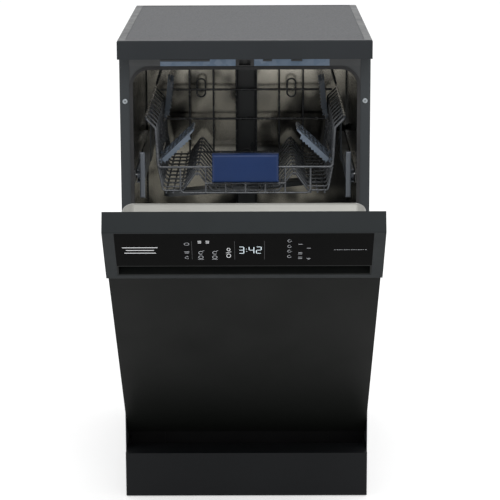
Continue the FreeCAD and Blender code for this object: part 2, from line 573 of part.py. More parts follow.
def salt_cap():
    """Screw cap of the softener, with a grip web."""
    cap = rod(V(SALT_X, SALT_Y, BASIN_Z + 0.3), Z_AXIS, 9, SALT_R + 3)
    cap = cap.cut(rod(V(SALT_X, SALT_Y, BASIN_Z + 3.3), Z_AXIS, 9, SALT_R - 1))
    web = box(SALT_X - SALT_R, SALT_X + SALT_R, SALT_Y - 2.5, SALT_Y + 2.5, BASIN_Z + 2, BASIN_Z + 9.3)
    plug = rod(V(SALT_X, SALT_Y, BASIN_Z - 8), Z_AXIS, 8.5, SALT_R - 4)
    return fuse([cap, web, plug])


def water_softener():
    """Salt and resin container under the basin, open at its filler mouth."""
    z1 = BASIN_Z - TUB_WALL
    body = box(SALT_X - 58, SALT_X + 16, SALT_Y - 60, SALT_Y + 56, 96, z1 - 4)
    neck = rod(V(SALT_X, SALT_Y, z1 - 6), Z_AXIS, 6, SALT_R + 4)
    mouth = rod(V(SALT_X, SALT_Y, z1 - 40), Z_AXIS, 41, SALT_R - 3.7)
    return body.fuse(neck).cut(mouth)


def circulation_pump():
    """Wash pump with its heater can, lying on the tray left of the sump."""
    z = BASIN_Z - TUB_WALL - 52
    end = -SUMP_R - PUMP_PORT_L
    motor = rod(V(end - 74, PUMP_Y, z), X_AXIS, 62, 34)
    can = rod(V(end - 12, PUMP_Y, z), X_AXIS, 12, 30)
    terminals = box(end - 66, end - 30, PUMP_Y - 12, PUMP_Y + 12, z + 30, z + 42)
    foot = box(end - 60, end - 24, PUMP_Y - 20, PUMP_Y + 20, BASE_FLOOR_Z + TRAY_WALL, z - 26)
    return fuse([motor, can, terminals, foot])


def drain_pump():
    """Small drain pump on the right of the sump with the hose stub to the rear outlet."""
    z = BASIN_Z - TUB_WALL - 40
    y = DRAIN_PUMP_Y
    volute = rod(V(SUMP_R + 22, y, z), X_AXIS, 20, 22)
    motor = rod(V(SUMP_R + 42, y, z), X_AXIS, 42, 17)
    foot = box(SUMP_R + 46, SUMP_R + 78, y - 12, y + 12, BASE_FLOOR_Z + TRAY_WALL, z - 14)
    pipe = bent_wire([(SUMP_R + 32, y + 15, z), (SUMP_R + 32, y + 70, z), (DRAIN_X, TRAY_BACK_Y - 92, DRAIN_Z),
                      (DRAIN_X, TRAY_BACK_Y - 10, DRAIN_Z)], 24, DRAIN_STUB_R - 1.5)
    return fuse([volute, motor, foot, pipe])


def air_break_chamber():
    """Flat water inlet chamber between the tub and the left side panel."""
    return box(-CABINET_HALF + SHEET + 0.3, -TUB_HALF_W - TUB_WALL - 0.3, -100, 150,
               TUB_FLOOR_Z + 50.8, TUB_TOP_Z - 152)


def inlet_valve():
    """Solenoid valve with a threaded water spout behind."""
    y = TRAY_BACK_Y - 10
    body = box(INLET_X - 20, INLET_X + 20, y - 37, y, INLET_Z - 20, INLET_Z + 30)
    collar = rod(V(INLET_X, y, INLET_Z), Y_AXIS, 24, INLET_SPOUT_R + 2.8)
    spout = rod(V(INLET_X, y + 24, INLET_Z), Y_AXIS, 20, INLET_SPOUT_R)
    bore = rod(V(INLET_X, y - 22, INLET_Z), Y_AXIS, 70, 6.5)
    feet = box(INLET_X - 16, INLET_X + 16, y - 30, y - 6, BASE_FLOOR_Z + TRAY_WALL, INLET_Z - 20)
    return fuse([body, collar, spout, feet]).cut(bore)


def drain_outlet():
    """Hose stub that carries the drain water out of the base."""
    bore = DRAIN_STUB_R - 2.5
    flange = tube(V(DRAIN_X, TRAY_BACK_Y, DRAIN_Z), Y_AXIS, 3, DRAIN_STUB_R + 7.5, bore)
    stub = tube(V(DRAIN_X, TRAY_BACK_Y - 9, DRAIN_Z), Y_AXIS, 40, DRAIN_STUB_R, bore)
    return flange.fuse(stub)


def mains_gland():
    """Grommet in the rear wall where the mains lead passes."""
    y = TRAY_BACK_Y
    body = rod(V(GLAND_X, y - 7, GLAND_Z), Y_AXIS, 14, GLAND_BORE_R + 5)
    lip = rod(V(GLAND_X, y, GLAND_Z), Y_AXIS, 4, GLAND_BORE_R + 9)
    return body.fuse(lip).cut(rod(V(GLAND_X, y - 12, GLAND_Z), Y_AXIS, 30, GLAND_BORE_R))


def water_duct():
    """Riser on the back wall, its ceiling pipe with a sprayer, and the docking mouth for the basket."""
    riser = box(-DUCT_HALF_W, DUCT_HALF_W, DUCT_Y, TUB_BACK_Y - 0.2, TUB_FLOOR_Z + 0.3, TUB_TOP_Z - 1)
    riser = riser.makeFillet(5, [e for e in riser.Edges if abs(e.CenterOfMass.y - DUCT_Y) < 1e-6
                                 and abs(abs(e.CenterOfMass.x) - DUCT_HALF_W) < 1e-6])
    ceiling = box(-13, 13, ARM_HUB_Y, DUCT_Y + 6, TUB_TOP_Z - 13, TUB_TOP_Z - 1)
    sprayer = rod(V(0, ARM_HUB_Y, TUB_TOP_Z - 20), Z_AXIS, 19, 26)
    dock = tube(V(0, DUCT_Y - 8, UPPER_FEED_Z), Y_AXIS, 10, 19, 13.5)
    return fuse([riser, ceiling, sprayer, dock])


# ---- lower spray arm, and the same blade for the upper one
def spray_arm(radius, z, turn, hub_r, hub_low, hub_high, cover):
    """Tapered two-bladed arm with rounded tips, nozzles and a hub."""
    root, tip = ARM_CHORD / 2.0, ARM_CHORD / 3.2
    corners = [(-radius + tip, -tip), (0, -root), (radius - tip, -tip)]
    loop = [Part.LineSegment(V(corners[0][0], corners[0][1], 0), V(0, -root, 0)).toShape(),
            Part.LineSegment(V(0, -root, 0), V(corners[2][0], -tip, 0)).toShape(),
            Part.Arc(V(radius - tip, -tip, 0), V(radius, 0, 0), V(radius - tip, tip, 0)).toShape(),
            Part.LineSegment(V(radius - tip, tip, 0), V(0, root, 0)).toShape(),
            Part.LineSegment(V(0, root, 0), V(-radius + tip, tip, 0)).toShape(),
            Part.Arc(V(-radius + tip, tip, 0), V(-radius, 0, 0), V(-radius + tip, -tip, 0)).toShape()]
    blade = Part.Face(Part.Wire(loop)).extrude(V(0, 0, ARM_T))
    blade = blade.makeFillet(2.5, [e for e in blade.Edges if abs(e.CenterOfMass.z - ARM_T) < 1e-6])
    for side in (-1, 1):
        for k in range(5):
            reach = side * (radius - 22 - k * (radius - 60) / 5.0)
            offset = side * (6 if k % 2 else -5)
            blade = blade.cut(box(reach - 4, reach + 4, offset - 1.2, offset + 1.2, ARM_T - 1.5, ARM_T + 1))
    hub = rod(V(0, 0, hub_low), Z_AXIS, hub_high - hub_low, hub_r)
    bore = rod(V(0, 0, hub_low - 1), Z_AXIS, hub_high - hub_low + 2 - cover, STALK_R + RUNNING)
    arm = blade.fuse(hub).cut(bore)
    arm.rotate(V(0, 0, 0), Z_AXIS, turn)
    arm.translate(V(0, ARM_HUB_Y, z - ARM_T / 2.0))
    return arm


# ---- upper basket
def rail():
    """Right-hand fixed rail on the tub wall, with the axles of the two rollers."""
    x0 = ROLLER_X + ROLLER_W + 2.5
    strip = box(x0, TUB_HALF_W - 0.2, CASE_FRONT_Y + 22.9, TUB_BACK_Y - 33, ROLLER_Z - 12, ROLLER_Z + 12)
    pins = [rod(V(ROLLER_X - 1, y, ROLLER_Z), X_AXIS, x0 - ROLLER_X + 1.5, ROLLER_PIN_R) for y in ROLLER_Y]
    heads = [rod(V(ROLLER_X - 1.8, y, ROLLER_Z), X_AXIS, 1.4, ROLLER_PIN_R + 1.5) for y in ROLLER_Y]
    screws = [rod(V(x0 - 1.9, y, ROLLER_Z), X_AXIS, 2.2, 4.5) for y in (-60, TUB_BACK_Y - 88)]
    return fuse([strip] + pins + heads + screws)


def roller_pair(y):
    """The left and right rollers of one place along the rails."""
    wheel = tube(V(ROLLER_X, y, ROLLER_Z), X_AXIS, ROLLER_W, ROLLER_R, ROLLER_PIN_R + RUNNING)
    return both_sides(wheel)


def slide_rail():
    """Right-hand channel on the basket that runs over the rollers, with its front and rear caps."""
    y0, y1 = UPPER_FRONT_Y - 10, UPPER_BACK_Y - 6
    x0, x1, high = UPPER_HALF_W + 2.6, ROLLER_X + ROLLER_W, CHANNEL_HALF_H
    inside = high - CHANNEL_T
    web = box(x0, x0 + 1.6, y0, y1, ROLLER_Z - high, ROLLER_Z + high)
    top = box(x0 + 1.6, x1, y0, y1, ROLLER_Z + inside, ROLLER_Z + high)
    low = box(x0 + 1.6, x1, y0, y1, ROLLER_Z - high, ROLLER_Z - inside)
    cap = box(x0 - 1.2, x1 - 5, y0 - 4, y0, UPPER_FLOOR_Z - 10, UPPER_FLOOR_Z + 74)
    cap = cap.makeFillet(3, [e for e in cap.Edges if abs(e.CenterOfMass.y - (y0 - 4)) < 1e-6])
    lug = box(UPPER_HALF_W + 0.9, x0, -20, 60, ROLLER_Z - high, UPPER_RIM_Z - RIM_R - 0.3)
    return fuse([web, top, low, cap, lug])


def shelf_hinge_x(z):
    """Where the lengthwise wire that carries the cup shelves is welded inside the basket's side."""
    share = (z - SIDE_LOW[1]) / (SIDE_HIGH[1] - SIDE_LOW[1])
    return SIDE_LOW[0] + share * (SIDE_HIGH[0] - SIDE_LOW[0]) - (WIRE_R + HINGE_WIRE_R - WELD)


def crosswire_profile(y):
    """One floor wire of the upper basket from rim to rim, with its two humps."""
    half = [(UPPER_HALF_W, UPPER_RIM_Z), SIDE_HIGH, SIDE_LOW, (UPPER_HALF_W - 30, UPPER_FLOOR_Z),
            (HUMP_X + 26, UPPER_FLOOR_Z),
            (HUMP_X, HUMP_Z), (HUMP_X - 28, UPPER_FLOOR_Z)]
    right = [(x, y, z) for x, z in half]
    left = [(-x, y, z) for x, z in reversed(half)]
    return right + left


def hump_crest_z():
    """Middle of a floor wire at the crest of its hump, under the bend of radius WIRE_BEND."""
    left, right = math.atan(28 / (HUMP_Z - UPPER_FLOOR_Z)), math.atan(26 / (HUMP_Z - UPPER_FLOOR_Z))
    return HUMP_Z - WIRE_BEND * (1 / math.sin((left + right) / 2.0) - 1)


def floor_wire_stations():
    count = int((UPPER_BACK_Y - UPPER_FRONT_Y - 12) / FLOOR_WIRE_PITCH) + 1
    return [UPPER_FRONT_Y + 6 + FLOOR_WIRE_PITCH * k for k in range(count)]


def upper_basket():
    """Welded wires: humped floor wires, rim, rear grid with two loops, front grid and hinge wires."""
    wires = [bent_wire(crosswire_profile(y), WIRE_BEND, WIRE_R) for y in floor_wire_stations()]
    y0, y1 = UPPER_FRONT_Y, UPPER_BACK_Y
    depth = y1 - y0
    under = UPPER_FLOOR_Z - 2 * WIRE_R + WELD
    front = [(UPPER_HALF_W, y0, UPPER_RIM_Z), (SIDE_HIGH[0], y0, SIDE_HIGH[1]), (SIDE_LOW[0], y0, SIDE_LOW[1])]
    back = [(-UPPER_HALF_W, y1, UPPER_RIM_Z), (-UPPER_HALF_W + 12, y1, UPPER_REAR_Z)]
    rim = front + [(-x, y, z) for x, y, z in reversed(front)] + back + [(-x, y, z) for x, y, z in reversed(back)]
    wires.append(bent_wire(rim, 7, RIM_R, closed=True))
    for s in (-1, 1):
        for x in (UPPER_HALF_W - 36, UPPER_HALF_W - 49, UPPER_HALF_W - 62):
            wires.append(rod(V(s * x, y0, under), Y_AXIS, depth, WIRE_R))
        wires.append(rod(V(s * HUMP_X, y0 + 4, hump_crest_z() - 2 * WIRE_R + WELD), Y_AXIS, depth - 14, WIRE_R))
        wires.append(rod(V(s * shelf_hinge_x(FRONT_SHELF_Z), y0 + 3, FRONT_SHELF_Z), Y_AXIS, depth / 2, HINGE_WIRE_R))
        wires.append(rod(V(s * shelf_hinge_x(REAR_SHELF_Z), 3, REAR_SHELF_Z), Y_AXIS, y1 - 9, HINGE_WIRE_R))
        for x in (20, 66, 114):
            wires.append(rod_between(V(s * x, y1, under), V(s * x, y1, UPPER_REAR_Z), WIRE_R))
        top, foot = UPPER_RIM_Z + 12, UPPER_RIM_Z - 24
        loop = [(s * 99, y1, top), (s * 82, y1, top), (s * 82, y1, foot), (s * 99, y1, foot)]
        wires.append(bent_wire(loop, 8, WIRE_R, closed=True))
    behind = WIRE_R + RIM_R - WELD
    for z, half in ((UPPER_RIM_Z - 9, UPPER_HALF_W - 8), (UPPER_FLOOR_Z + 66, UPPER_HALF_W - 20)):
        wires.append(rod(V(-half, y1 - behind, z), X_AXIS, 2 * half, RIM_R))
    wires.append(rod(V(-116, y1, under), X_AXIS, 232, RIM_R))
    low = UPPER_FLOOR_Z - 2 * WIRE_R
    wires.append(bent_wire([(-118, y0, SIDE_LOW[1]), (-118, y0, low), (118, y0, low), (118, y0, SIDE_LOW[1])],
                           8, WIRE_R))
    wires.append(rod(V(-73, y0, low + 17.4), X_AXIS, 146, WIRE_R + 0.3))
    for x in (-72, -36, 0, 36, 72):
        wires.append(rod(V(x, y0, low), Z_AXIS, SIDE_LOW[1] - low, WIRE_R - 0.1))
    for x in (-52, -26, 0, 26, 52):
        wires.append(rod(V(x, y0 - 0.4, under), Y_AXIS, depth + 0.4, WIRE_R))
    side, foot, step = UPPER_HALF_W - 32.5, UPPER_FLOOR_Z - 10, UPPER_FLOOR_Z + 20
    top, outer, inner = UPPER_REAR_Z + 40, HUMP_X + 26, HUMP_X - 28 + 1
    front, rear, rod_y, rod_end = y0 + 3, y1 - 8, y1 - behind - RIM_R - 0.2, UPPER_HALF_W - 7.5
    seams = [(-side, side, front, front + SEAM, step, top), (-121, 121, front, front + SEAM, foot, step),
             (-side, side, rear, rear + SEAM, step, top), (-116.5, 116.5, rear, rear + SEAM, foot, step)]
    for s in (-1, 1):
        seams.append((s * side - SEAM / 2.0, s * side + SEAM / 2.0, y0 - 9, rod_y, foot, top))
        seams.append((min(s * side, s * rod_end), max(s * side, s * rod_end), rod_y, rod_y + SEAM, foot, top))
        seams.append((s * rod_end - SEAM / 2.0, s * rod_end + SEAM / 2.0, rod_y, y1 + 9, foot, top))
        for edge in (outer, inner):
            seams.append((s * edge - SEAM / 2.0, s * edge + SEAM / 2.0, front, rear, foot, step))
    return parted(fuse(wires), seams)


def upper_basket_handle():
    """Moulded pull clipped over the front rim wires."""
    y1 = UPPER_FRONT_Y - RIM_R - 0.2
    z0, z1 = UPPER_FLOOR_Z + 18, UPPER_FLOOR_Z + 69
    body = box(-60, 60, y1 - 12, y1, z0, z1)
    body = body.makeFillet(4, [e for e in body.Edges if abs(e.CenterOfMass.y - (y1 - 12)) < 1e-6])
    lip = box(-60, 60, y1 - 2, y1 + 8, z1 - 6, z1)
    hollow = box(-55, 55, y1 - 9, y1 + 1, z0 - 4, z1 - 7)
    return body.fuse(lip).cut(hollow)


def upper_arm_feed():
    """Flat pipe under the upper basket from the docking nozzle to the arm's stalk."""
    y_end = DUCT_Y - 9.0
    half = STALK_R + 5
    pipe = box(-half, half, ARM_HUB_Y - half, UPPER_BACK_Y - 8, UPPER_FEED_Z - 6, UPPER_FEED_Z + 6)
    nozzle = rod(V(0, UPPER_BACK_Y - 8, UPPER_FEED_Z), Y_AXIS, y_end - UPPER_BACK_Y + 8, 11.0)
    stalk = rod(V(0, ARM_HUB_Y, UPPER_ARM_Z - 9), Z_AXIS, UPPER_FEED_Z - UPPER_ARM_Z + 3, STALK_R)
    nut = rod(V(0, ARM_HUB_Y, UPPER_ARM_Z - 12), Z_AXIS, 3, STALK_R + 3)
    clip = box(-14, 14, ARM_HUB_Y + 10, ARM_HUB_Y + 26, UPPER_FEED_Z + 6, UPPER_FLOOR_Z - 2 * WIRE_R - WIRE_R - 0.2)
    return fuse([pipe, nozzle, stalk, nut, clip])


def cup_shelf(y0, hinge_z, degrees):
    """Left-hand folding shelf drawn flat, then raised: slotted plate, saw-toothed ribs, clip barrels."""
    reach, half = SHELF_REACH, SHELF_T / 2.0
    plate = box(5, reach, y0, y0 + SHELF_LEN, -half, half)
    plate = plate.makeFillet(12, [e for e in plate.Edges if abs(e.CenterOfMass.x - reach) < 1e-6
                                  and abs(e.Vertexes[0].Point.z - e.Vertexes[1].Point.z) > 1])
    for k in range(6):
        x0 = 14 + k * 10.5
        plate = plate.cut(box(x0, x0 + 5.5, y0 + 10, y0 + SHELF_LEN / 2 - 4, -5, 5))
        plate = plate.cut(box(x0, x0 + 5.5, y0 + SHELF_LEN / 2 + 4, y0 + SHELF_LEN - 10, -5, 5))
    pieces = [plate]
    for ry in (y0, y0 + SHELF_LEN - 3):
        outline = [V(5, ry, -half), V(5, ry, -9)]
        teeth = 9
        step = (reach - 20) / teeth
        for k in range(teeth):
            outline.append(V(5 + (k + 0.5) * step, ry, -6.5))
            outline.append(V(5 + (k + 1) * step, ry, -9))
        outline.append(V(reach - 12, ry, -half))
        rib = Part.Face(Part.makePolygon(outline + outline[:1])).extrude(V(0, 3, 0))
        pieces.append(rib)
    for by in SHELF_BARRELS:
        barrel = rod(V(0, y0 + by, 0), Y_AXIS, SHELF_BARREL_LEN, 4.0)
        arm = box(0, 6, y0 + by, y0 + by + SHELF_BARREL_LEN, -half, half)
        pieces += [barrel, arm]
    shelf = fuse(pieces)
    for by in SHELF_BARRELS:
        shelf = shelf.cut(rod(V(0, y0 + by - 1, 0), Y_AXIS, SHELF_BARREL_LEN + 2, HINGE_WIRE_R + RUNNING))
    shelf.rotate(V(0, 0, 0), Y_AXIS, -degrees)
    shelf.translate(V(-shelf_hinge_x(hinge_z), 0, hinge_z))
    return shelf


# ---- lower basket
def lower_basket():
    """Welded wires: rim, ribs across and along, a middle band, plate prongs and wheel brackets."""
    y0, y1 = LOWER_FRONT_Y, LOWER_BACK_Y
    x, zf, zr = LOWER_HALF_W, LOWER_FLOOR_Z, LOWER_RIM_Z
    wires = [bent_wire([(-x, y0, zr - 40), (x, y0, zr - 40), (x, y0 + 90, zr), (x, y1, zr), (-x, y1, zr),
                        (-x, y0 + 90, zr)], 12, RIM_R, closed=True)]
    for k in range(int((y1 - y0 - 20) / LOWER_PITCH) + 1):
        y = y0 + 12 + k * LOWER_PITCH
        top = zr - 40 + min(40.0, (y - y0) / 90.0 * 40.0)
        side = [(x, y, top), (x - 4, y, zf)]
        wires.append(bent_wire(side + [(-px, py, pz) for px, py, pz in reversed(side)], 8, WIRE_R))
    for px in (-150, -110, -70, -28, 28, 70, 110, 150):
        z = zf - 2 * WIRE_R + WELD
        wires.append(bent_wire([(px, y0, zr - 40), (px, y0, z), (px, y1, z), (px, y1, zr)], 8, WIRE_R))
    z = zf + 52
    band = [(-x + 1, y0, z), (x - 1, y0, z), (x - 1, y1, z), (-x + 1, y1, z)]
    wires.append(bent_wire(band, 10, WIRE_R, closed=True))
    for px in (-110, 28):
        for k in range(10):
            y = y0 + 33 + k * 40.0
            wires.append(rod_between(V(px, y, zf - 3), V(px + 12, y, zf + 78), 1.5))
    for s in (-1, 1):
        wires.append(rod(V(s * (x - 4), y0 + 12, zf), Y_AXIS, y1 - y0 - 24, RIM_R))
        for wy in WHEEL_Y:
            outer_end = WHEEL_X + WHEEL_W + 1.0
            wires.append(rod(V(s * (x - 6), wy, WHEEL_Z), V(s, 0, 0), outer_end - x + 6, AXLE_R))
            wires.append(rod(V(s * (x - 4), wy, WHEEL_Z - 1), Z_AXIS, zf - WHEEL_Z + 2, AXLE_R))
            wires.append(rod(V(s * outer_end, wy, WHEEL_Z), V(s, 0, 0), 1.2, AXLE_R + 2))
    foot, deck, side, top = zf - 3 * WIRE_R, zf + 6, x - 11, zr + 10
    seams = [(-x - 9, x + 9, y0 - 9, y1 + 9, foot, foot + SEAM), (-x - 9, x + 9, y0 - 9, y1 + 9, deck, deck + SEAM)]
    for s in (-1, 1):
        seams.append((s * side - SEAM / 2.0, s * side + SEAM / 2.0, y0 - 9, y1 + 9, deck, top))
    return parted(fuse(wires), seams)


def lower_wheel_pair(y):
    """Two grooved wheels on one axis line."""
    wheel = tube(V(WHEEL_X, y, WHEEL_Z), X_AXIS, WHEEL_W, WHEEL_R, AXLE_R + RUNNING)
    groove = tube(V(WHEEL_X + 2.5, y, WHEEL_Z), X_AXIS, WHEEL_W - 5, WHEEL_R + 1, WHEEL_R - 3)
    return both_sides(wheel.cut(groove))


def lower_basket_handle():
    """Moulded pull on the front rim."""
    y1 = LOWER_FRONT_Y - RIM_R - 0.2
    z0 = LOWER_RIM_Z - 66
    body = box(-55, 55, y1 - 10, y1, z0, z0 + 40)
    body = body.makeFillet(3.5, [e for e in body.Edges if abs(e.CenterOfMass.y - (y1 - 10)) < 1e-6])
    return body.cut(box(-50, 50, y1 - 7, y1 + 1, z0 - 1, z0 + 34))


# ---- door
def console_plane_point(s, n):
    """(y, z) of a point s down the console front from its top edge and n out of it."""
    dy, dz = CONSOLE_LOW_Y - CONSOLE_EDGE_Y, CONSOLE_LOW_Z - CONSOLE_EDGE_Z
    length = math.hypot(dy, dz)
    dy, dz = dy / length, dz / length
    return CONSOLE_EDGE_Y + s * dy + n * dz, CONSOLE_EDGE_Z + s * dz - n * dy


def console_block(x, s0, s1, n0, n1):
    """A block square to the console front: down the face from s0 to s1, outward from n0 to n1."""
    corners = [console_plane_point(s, n) for s, n in ((s0, n0), (s1, n0), (s1, n1), (s0, n1))]
    return prism_x(corners, -x, x)


def console():
    """Moulded control housing, open behind, with the window opening in front."""
    half, wall = TOTAL_W / 2.0, CONSOLE_WALL
    outline = [(DOOR_BACK_Y, DOOR_TOP_Z), (CONSOLE_EDGE_Y, CONSOLE_EDGE_Z), (CONSOLE_LOW_Y, CONSOLE_LOW_Z),
               (DOOR_BACK_Y - SHEET, CONSOLE_LOW_Z), (DOOR_BACK_Y - SHEET, CONSOLE_LOW_Z + wall),
               (DOOR_BACK_Y, CONSOLE_LOW_Z + wall)]
    shell = prism_x(outline, -half, half)
    soft = [e for e in shell.Edges if is_front_edge(e)]
    shell = shell.makeFillet(2.0, soft)
    inner = [(DOOR_BACK_Y + 1, DOOR_TOP_Z - wall), (DOOR_BACK_Y - 1, DOOR_TOP_Z - wall),
             (CONSOLE_EDGE_Y + wall, CONSOLE_EDGE_Z - wall * 0.6), (CONSOLE_LOW_Y + wall, CONSOLE_LOW_Z + wall),
             (DOOR_BACK_Y + 1, CONSOLE_LOW_Z + wall)]
    shell = shell.cut(prism_x(inner, -half + wall, half - wall))
    return shell.cut(console_block(WINDOW_HALF_W, WINDOW_TOP_S, GRIP_BOTTOM_S, -wall * 2, 5))


def is_front_edge(edge):
    c = edge.CenterOfMass
    top = abs(c.y - CONSOLE_EDGE_Y) < 1e-6 and abs(c.z - CONSOLE_EDGE_Z) < 1e-6
    low = abs(c.y - CONSOLE_LOW_Y) < 1e-6 and abs(c.z - CONSOLE_LOW_Z) < 1e-6
    return (top or low) and edge.Length > 100


def control_window():
    return console_block(WINDOW_HALF_W - 0.2, WINDOW_TOP_S + 0.2, WINDOW_BOTTOM_S, -WINDOW_T, 0)


def grip_recess():
    """Hand recess under the window: a tray open in front, with walls of 2 mm."""
    x, wall = WINDOW_HALF_W - 0.2, 2.0
    tray = console_block(x, WINDOW_BOTTOM_S, GRIP_BOTTOM_S - 0.2, -GRIP_DEPTH, -0.3)
    hollow = console_block(x - wall, WINDOW_BOTTOM_S + wall, GRIP_BOTTOM_S - 0.2 - wall, -GRIP_DEPTH + wall, 2)
    return tray.cut(hollow)


def control_board():
    """Electronics carrier behind the window with the display module on it."""
    carrier = console_block(WINDOW_HALF_W - 15, WINDOW_TOP_S + 12, WINDOW_BOTTOM_S - 8, -WINDOW_T - 9, -WINDOW_T - 4)
    display = console_block(62, WINDOW_TOP_S + 22, WINDOW_BOTTOM_S - 22, -WINDOW_T - 4, -WINDOW_T)
    return carrier.fuse(display)


def door_outer_panel():
    """Painted pan: front sheet, folded sides and a folded bottom."""
    x = PANEL_HALF
    y0 = PANEL_Y
    z0, z1 = PANEL_BOTTOM_Z, CONSOLE_LOW_Z
    skirt_z = LINER_BOTTOM_Z + 3
    front = box(-x, x, y0, y0 + SHEET, z0, z1)
    sides = [box(min(s * x, s * (x - SHEET)), max(s * x, s * (x - SHEET)), y0, DOOR_BACK_Y - SHEET, skirt_z, z1)
             for s in (-1, 1)]
    skirts = [box(min(s * x, s * (x - SHEET)), max(s * x, s * (x - SHEET)), y0, HINGE_Y - 1, z0, skirt_z)
              for s in (-1, 1)]
    bottom = box(-x, x, y0, y0 + 9, z0, z0 + SHEET)
    pan = fuse([front, bottom] + sides + skirts)
    long_edges = [e for e in pan.Edges if abs(e.CenterOfMass.y - y0) < 1e-6
                  and abs(abs(e.CenterOfMass.x) - x) < 1e-6]
    return pan.makeFillet(0.9, long_edges)


def raised_block(half, z0, z1, y0, y1, top_r, bottom_r, crown_r):
    """A block with rounded corners whose edge towards the tub is rounded too."""
    block = rounded_front(-half, half, z0, z1, y0, y1, top_r, bottom_r)
    return block.makeFillet(crown_r, [e for e in block.Edges if abs(e.CenterOfMass.y - y1) < 1e-6])


def door_liner():
    """Stainless inner skin: flat border and a raised field, deeper along its top, that reaches into the tub."""
    y1 = DOOR_BACK_Y
    border = box(-LINER_HALF_W, LINER_HALF_W, y1 - SHEET, y1, LINER_BOTTOM_Z, DOOR_TOP_Z - CONSOLE_WALL - 0.3)
    crest_z = BULGE_TOP_Z - CREST_H
    field = raised_block(BULGE_HALF_W, BULGE_BOTTOM_Z, BULGE_TOP_Z, y1 - SHEET, y1 + BULGE_DEPTH, BULGE_R, BULGE_R, 7)
    crest = raised_block(BULGE_HALF_W, crest_z, BULGE_TOP_Z, y1 - SHEET, y1 + CREST_DEPTH, BULGE_R, CREST_R, 6)
    inside = raised_block(BULGE_HALF_W - SHEET, BULGE_BOTTOM_Z + SHEET, BULGE_TOP_Z - SHEET, y1 - 2 * SHEET,
                          y1 + BULGE_DEPTH - SHEET, BULGE_R - SHEET, BULGE_R - SHEET, 6)
    inside_crest = raised_block(BULGE_HALF_W - SHEET, crest_z + SHEET, BULGE_TOP_Z - SHEET, y1 - 2 * SHEET,
                                y1 + CREST_DEPTH - SHEET, BULGE_R - SHEET, CREST_R - SHEET, 5)
    field = field.fuse(crest)
    hollow = inside.fuse(inside_crest)
    skin = border.fuse(field).cut(hollow)
    skin = skin.cut(box(DISP_X0, DISP_X1, y1 - 5, y1 + BULGE_DEPTH + 5, DISP_Z0, DISP_Z1))
    return skin.cut(box(-9, 9, y1 - 3, y1 + 1, DOOR_TOP_Z - 11.9, DOOR_TOP_Z))


def dispenser():
    """Detergent cup with lid guides, and the rinse-aid filler beside it."""
    face = DOOR_BACK_Y + BULGE_DEPTH
    body = box(DISP_X0 + 0.3, DISP_X1 - 0.3, PANEL_Y + 12, face, DISP_Z0 + 0.3, DISP_Z1 - 0.3)
    rim = box(DISP_X0 - 5, DISP_X1 + 5, face, face + 1.2, DISP_Z0 - 5, DISP_Z1 + 5)
    body = body.fuse(rim)
    body = body.cut(box(CUP_X0, CUP_X1, face - 26, face + 3, CUP_Z0, CUP_Z1))
    body = body.cut(box(CUP_X0 - 4, CUP_X1 + 4, face - 2.4, face + 3, DISP_Z0 + 4, DISP_Z1 - 6))
    return body.cut(rod(V(RINSE_X, face + 3, RINSE_Z), V(0, -1, 0), 20, RINSE_R - 2))


def detergent_lid():
    """Lid that slides down the door to open the cup."""
    face = DOOR_BACK_Y + BULGE_DEPTH
    lid = box(CUP_X0 - 3.6, CUP_X1 + 3.6, face - 2.0, face + 0.4, CUP_Z0 + 8.0, DISP_Z1 - 6.4)
    rib = box(CUP_X0 + 20, CUP_X1 - 20, face + 0.4, face + 3, CUP_Z0 + 14, CUP_Z0 + 18)
    return lid.fuse(rib)


def rinse_aid_cap():
    """Quarter-turn cap with an arrow ridge."""
    face = DOOR_BACK_Y + BULGE_DEPTH
    cap = rod(V(RINSE_X, face + 1.5, RINSE_Z), Y_AXIS, 5, RINSE_R)
    plug = rod(V(RINSE_X, face - 10, RINSE_Z), Y_AXIS, 11.6, RINSE_R - 2.4)
    ridge = box(RINSE_X - 2, RINSE_X + 2, face + 6.4, face + 9, RINSE_Z - 13, RINSE_Z + 13)
    return fuse([cap, plug, ridge])


def latch_bolt():
    """Spring plate and hook at the top of the door."""
    y0, top = DOOR_BACK_Y - 10.1, DOOR_TOP_Z - 6.9
    block = box(-15, 15, y0 - 8, DOOR_BACK_Y - SHEET - 0.3, top - 29.5, top - 7.5)
    riser = box(-7, 7, y0, y0 + 4, top - 9.5, top - 0.1)
    hook = box(-7, 7, y0, CASE_FRONT_Y + 11, top - 3, top)
    return fuse([block, riser, hook])


def door_bottom_seal():
    """Rubber strip along the liner's bottom edge."""
    y1 = DOOR_BACK_Y
    half = TUB_HALF_W - 3
    return box(-half, half, y1, y1 + 1.4, LINER_BOTTOM_Z + 0.5, LINER_BOTTOM_Z + 12)


def hinge_arm():
    """Right-hand door arm: pivot eye, mounting strap on the liner and spring tail."""
    x0, x1 = ARM_X, ARM_X + HINGE_ARM_T
    eye = rod(V(x0, HINGE_Y, HINGE_Z), X_AXIS, x1 - x0, EYE_R)
    strap = box(x0, x1, HINGE_Y - EYE_R, HINGE_Y + 5, HINGE_Z, STRAP_TOP_Z)
    pad = box(x0, x1, HINGE_Y, DOOR_BACK_Y - SHEET, LINER_BOTTOM_Z + 7, STRAP_TOP_Z)
    tail = prism_x([(HINGE_Y - 5, HINGE_Z), (HINGE_Y + 7, HINGE_Z), (TAIL_Y + 4, TAIL_Z - 2), (TAIL_Y - 4, TAIL_Z - 4)],
                   x0, x1)
    bore = rod(V(x0 - 1, HINGE_Y, HINGE_Z), X_AXIS, 5, PIVOT_R + RUNNING)
    return fuse([eye, strap, pad, tail]).cut(bore)


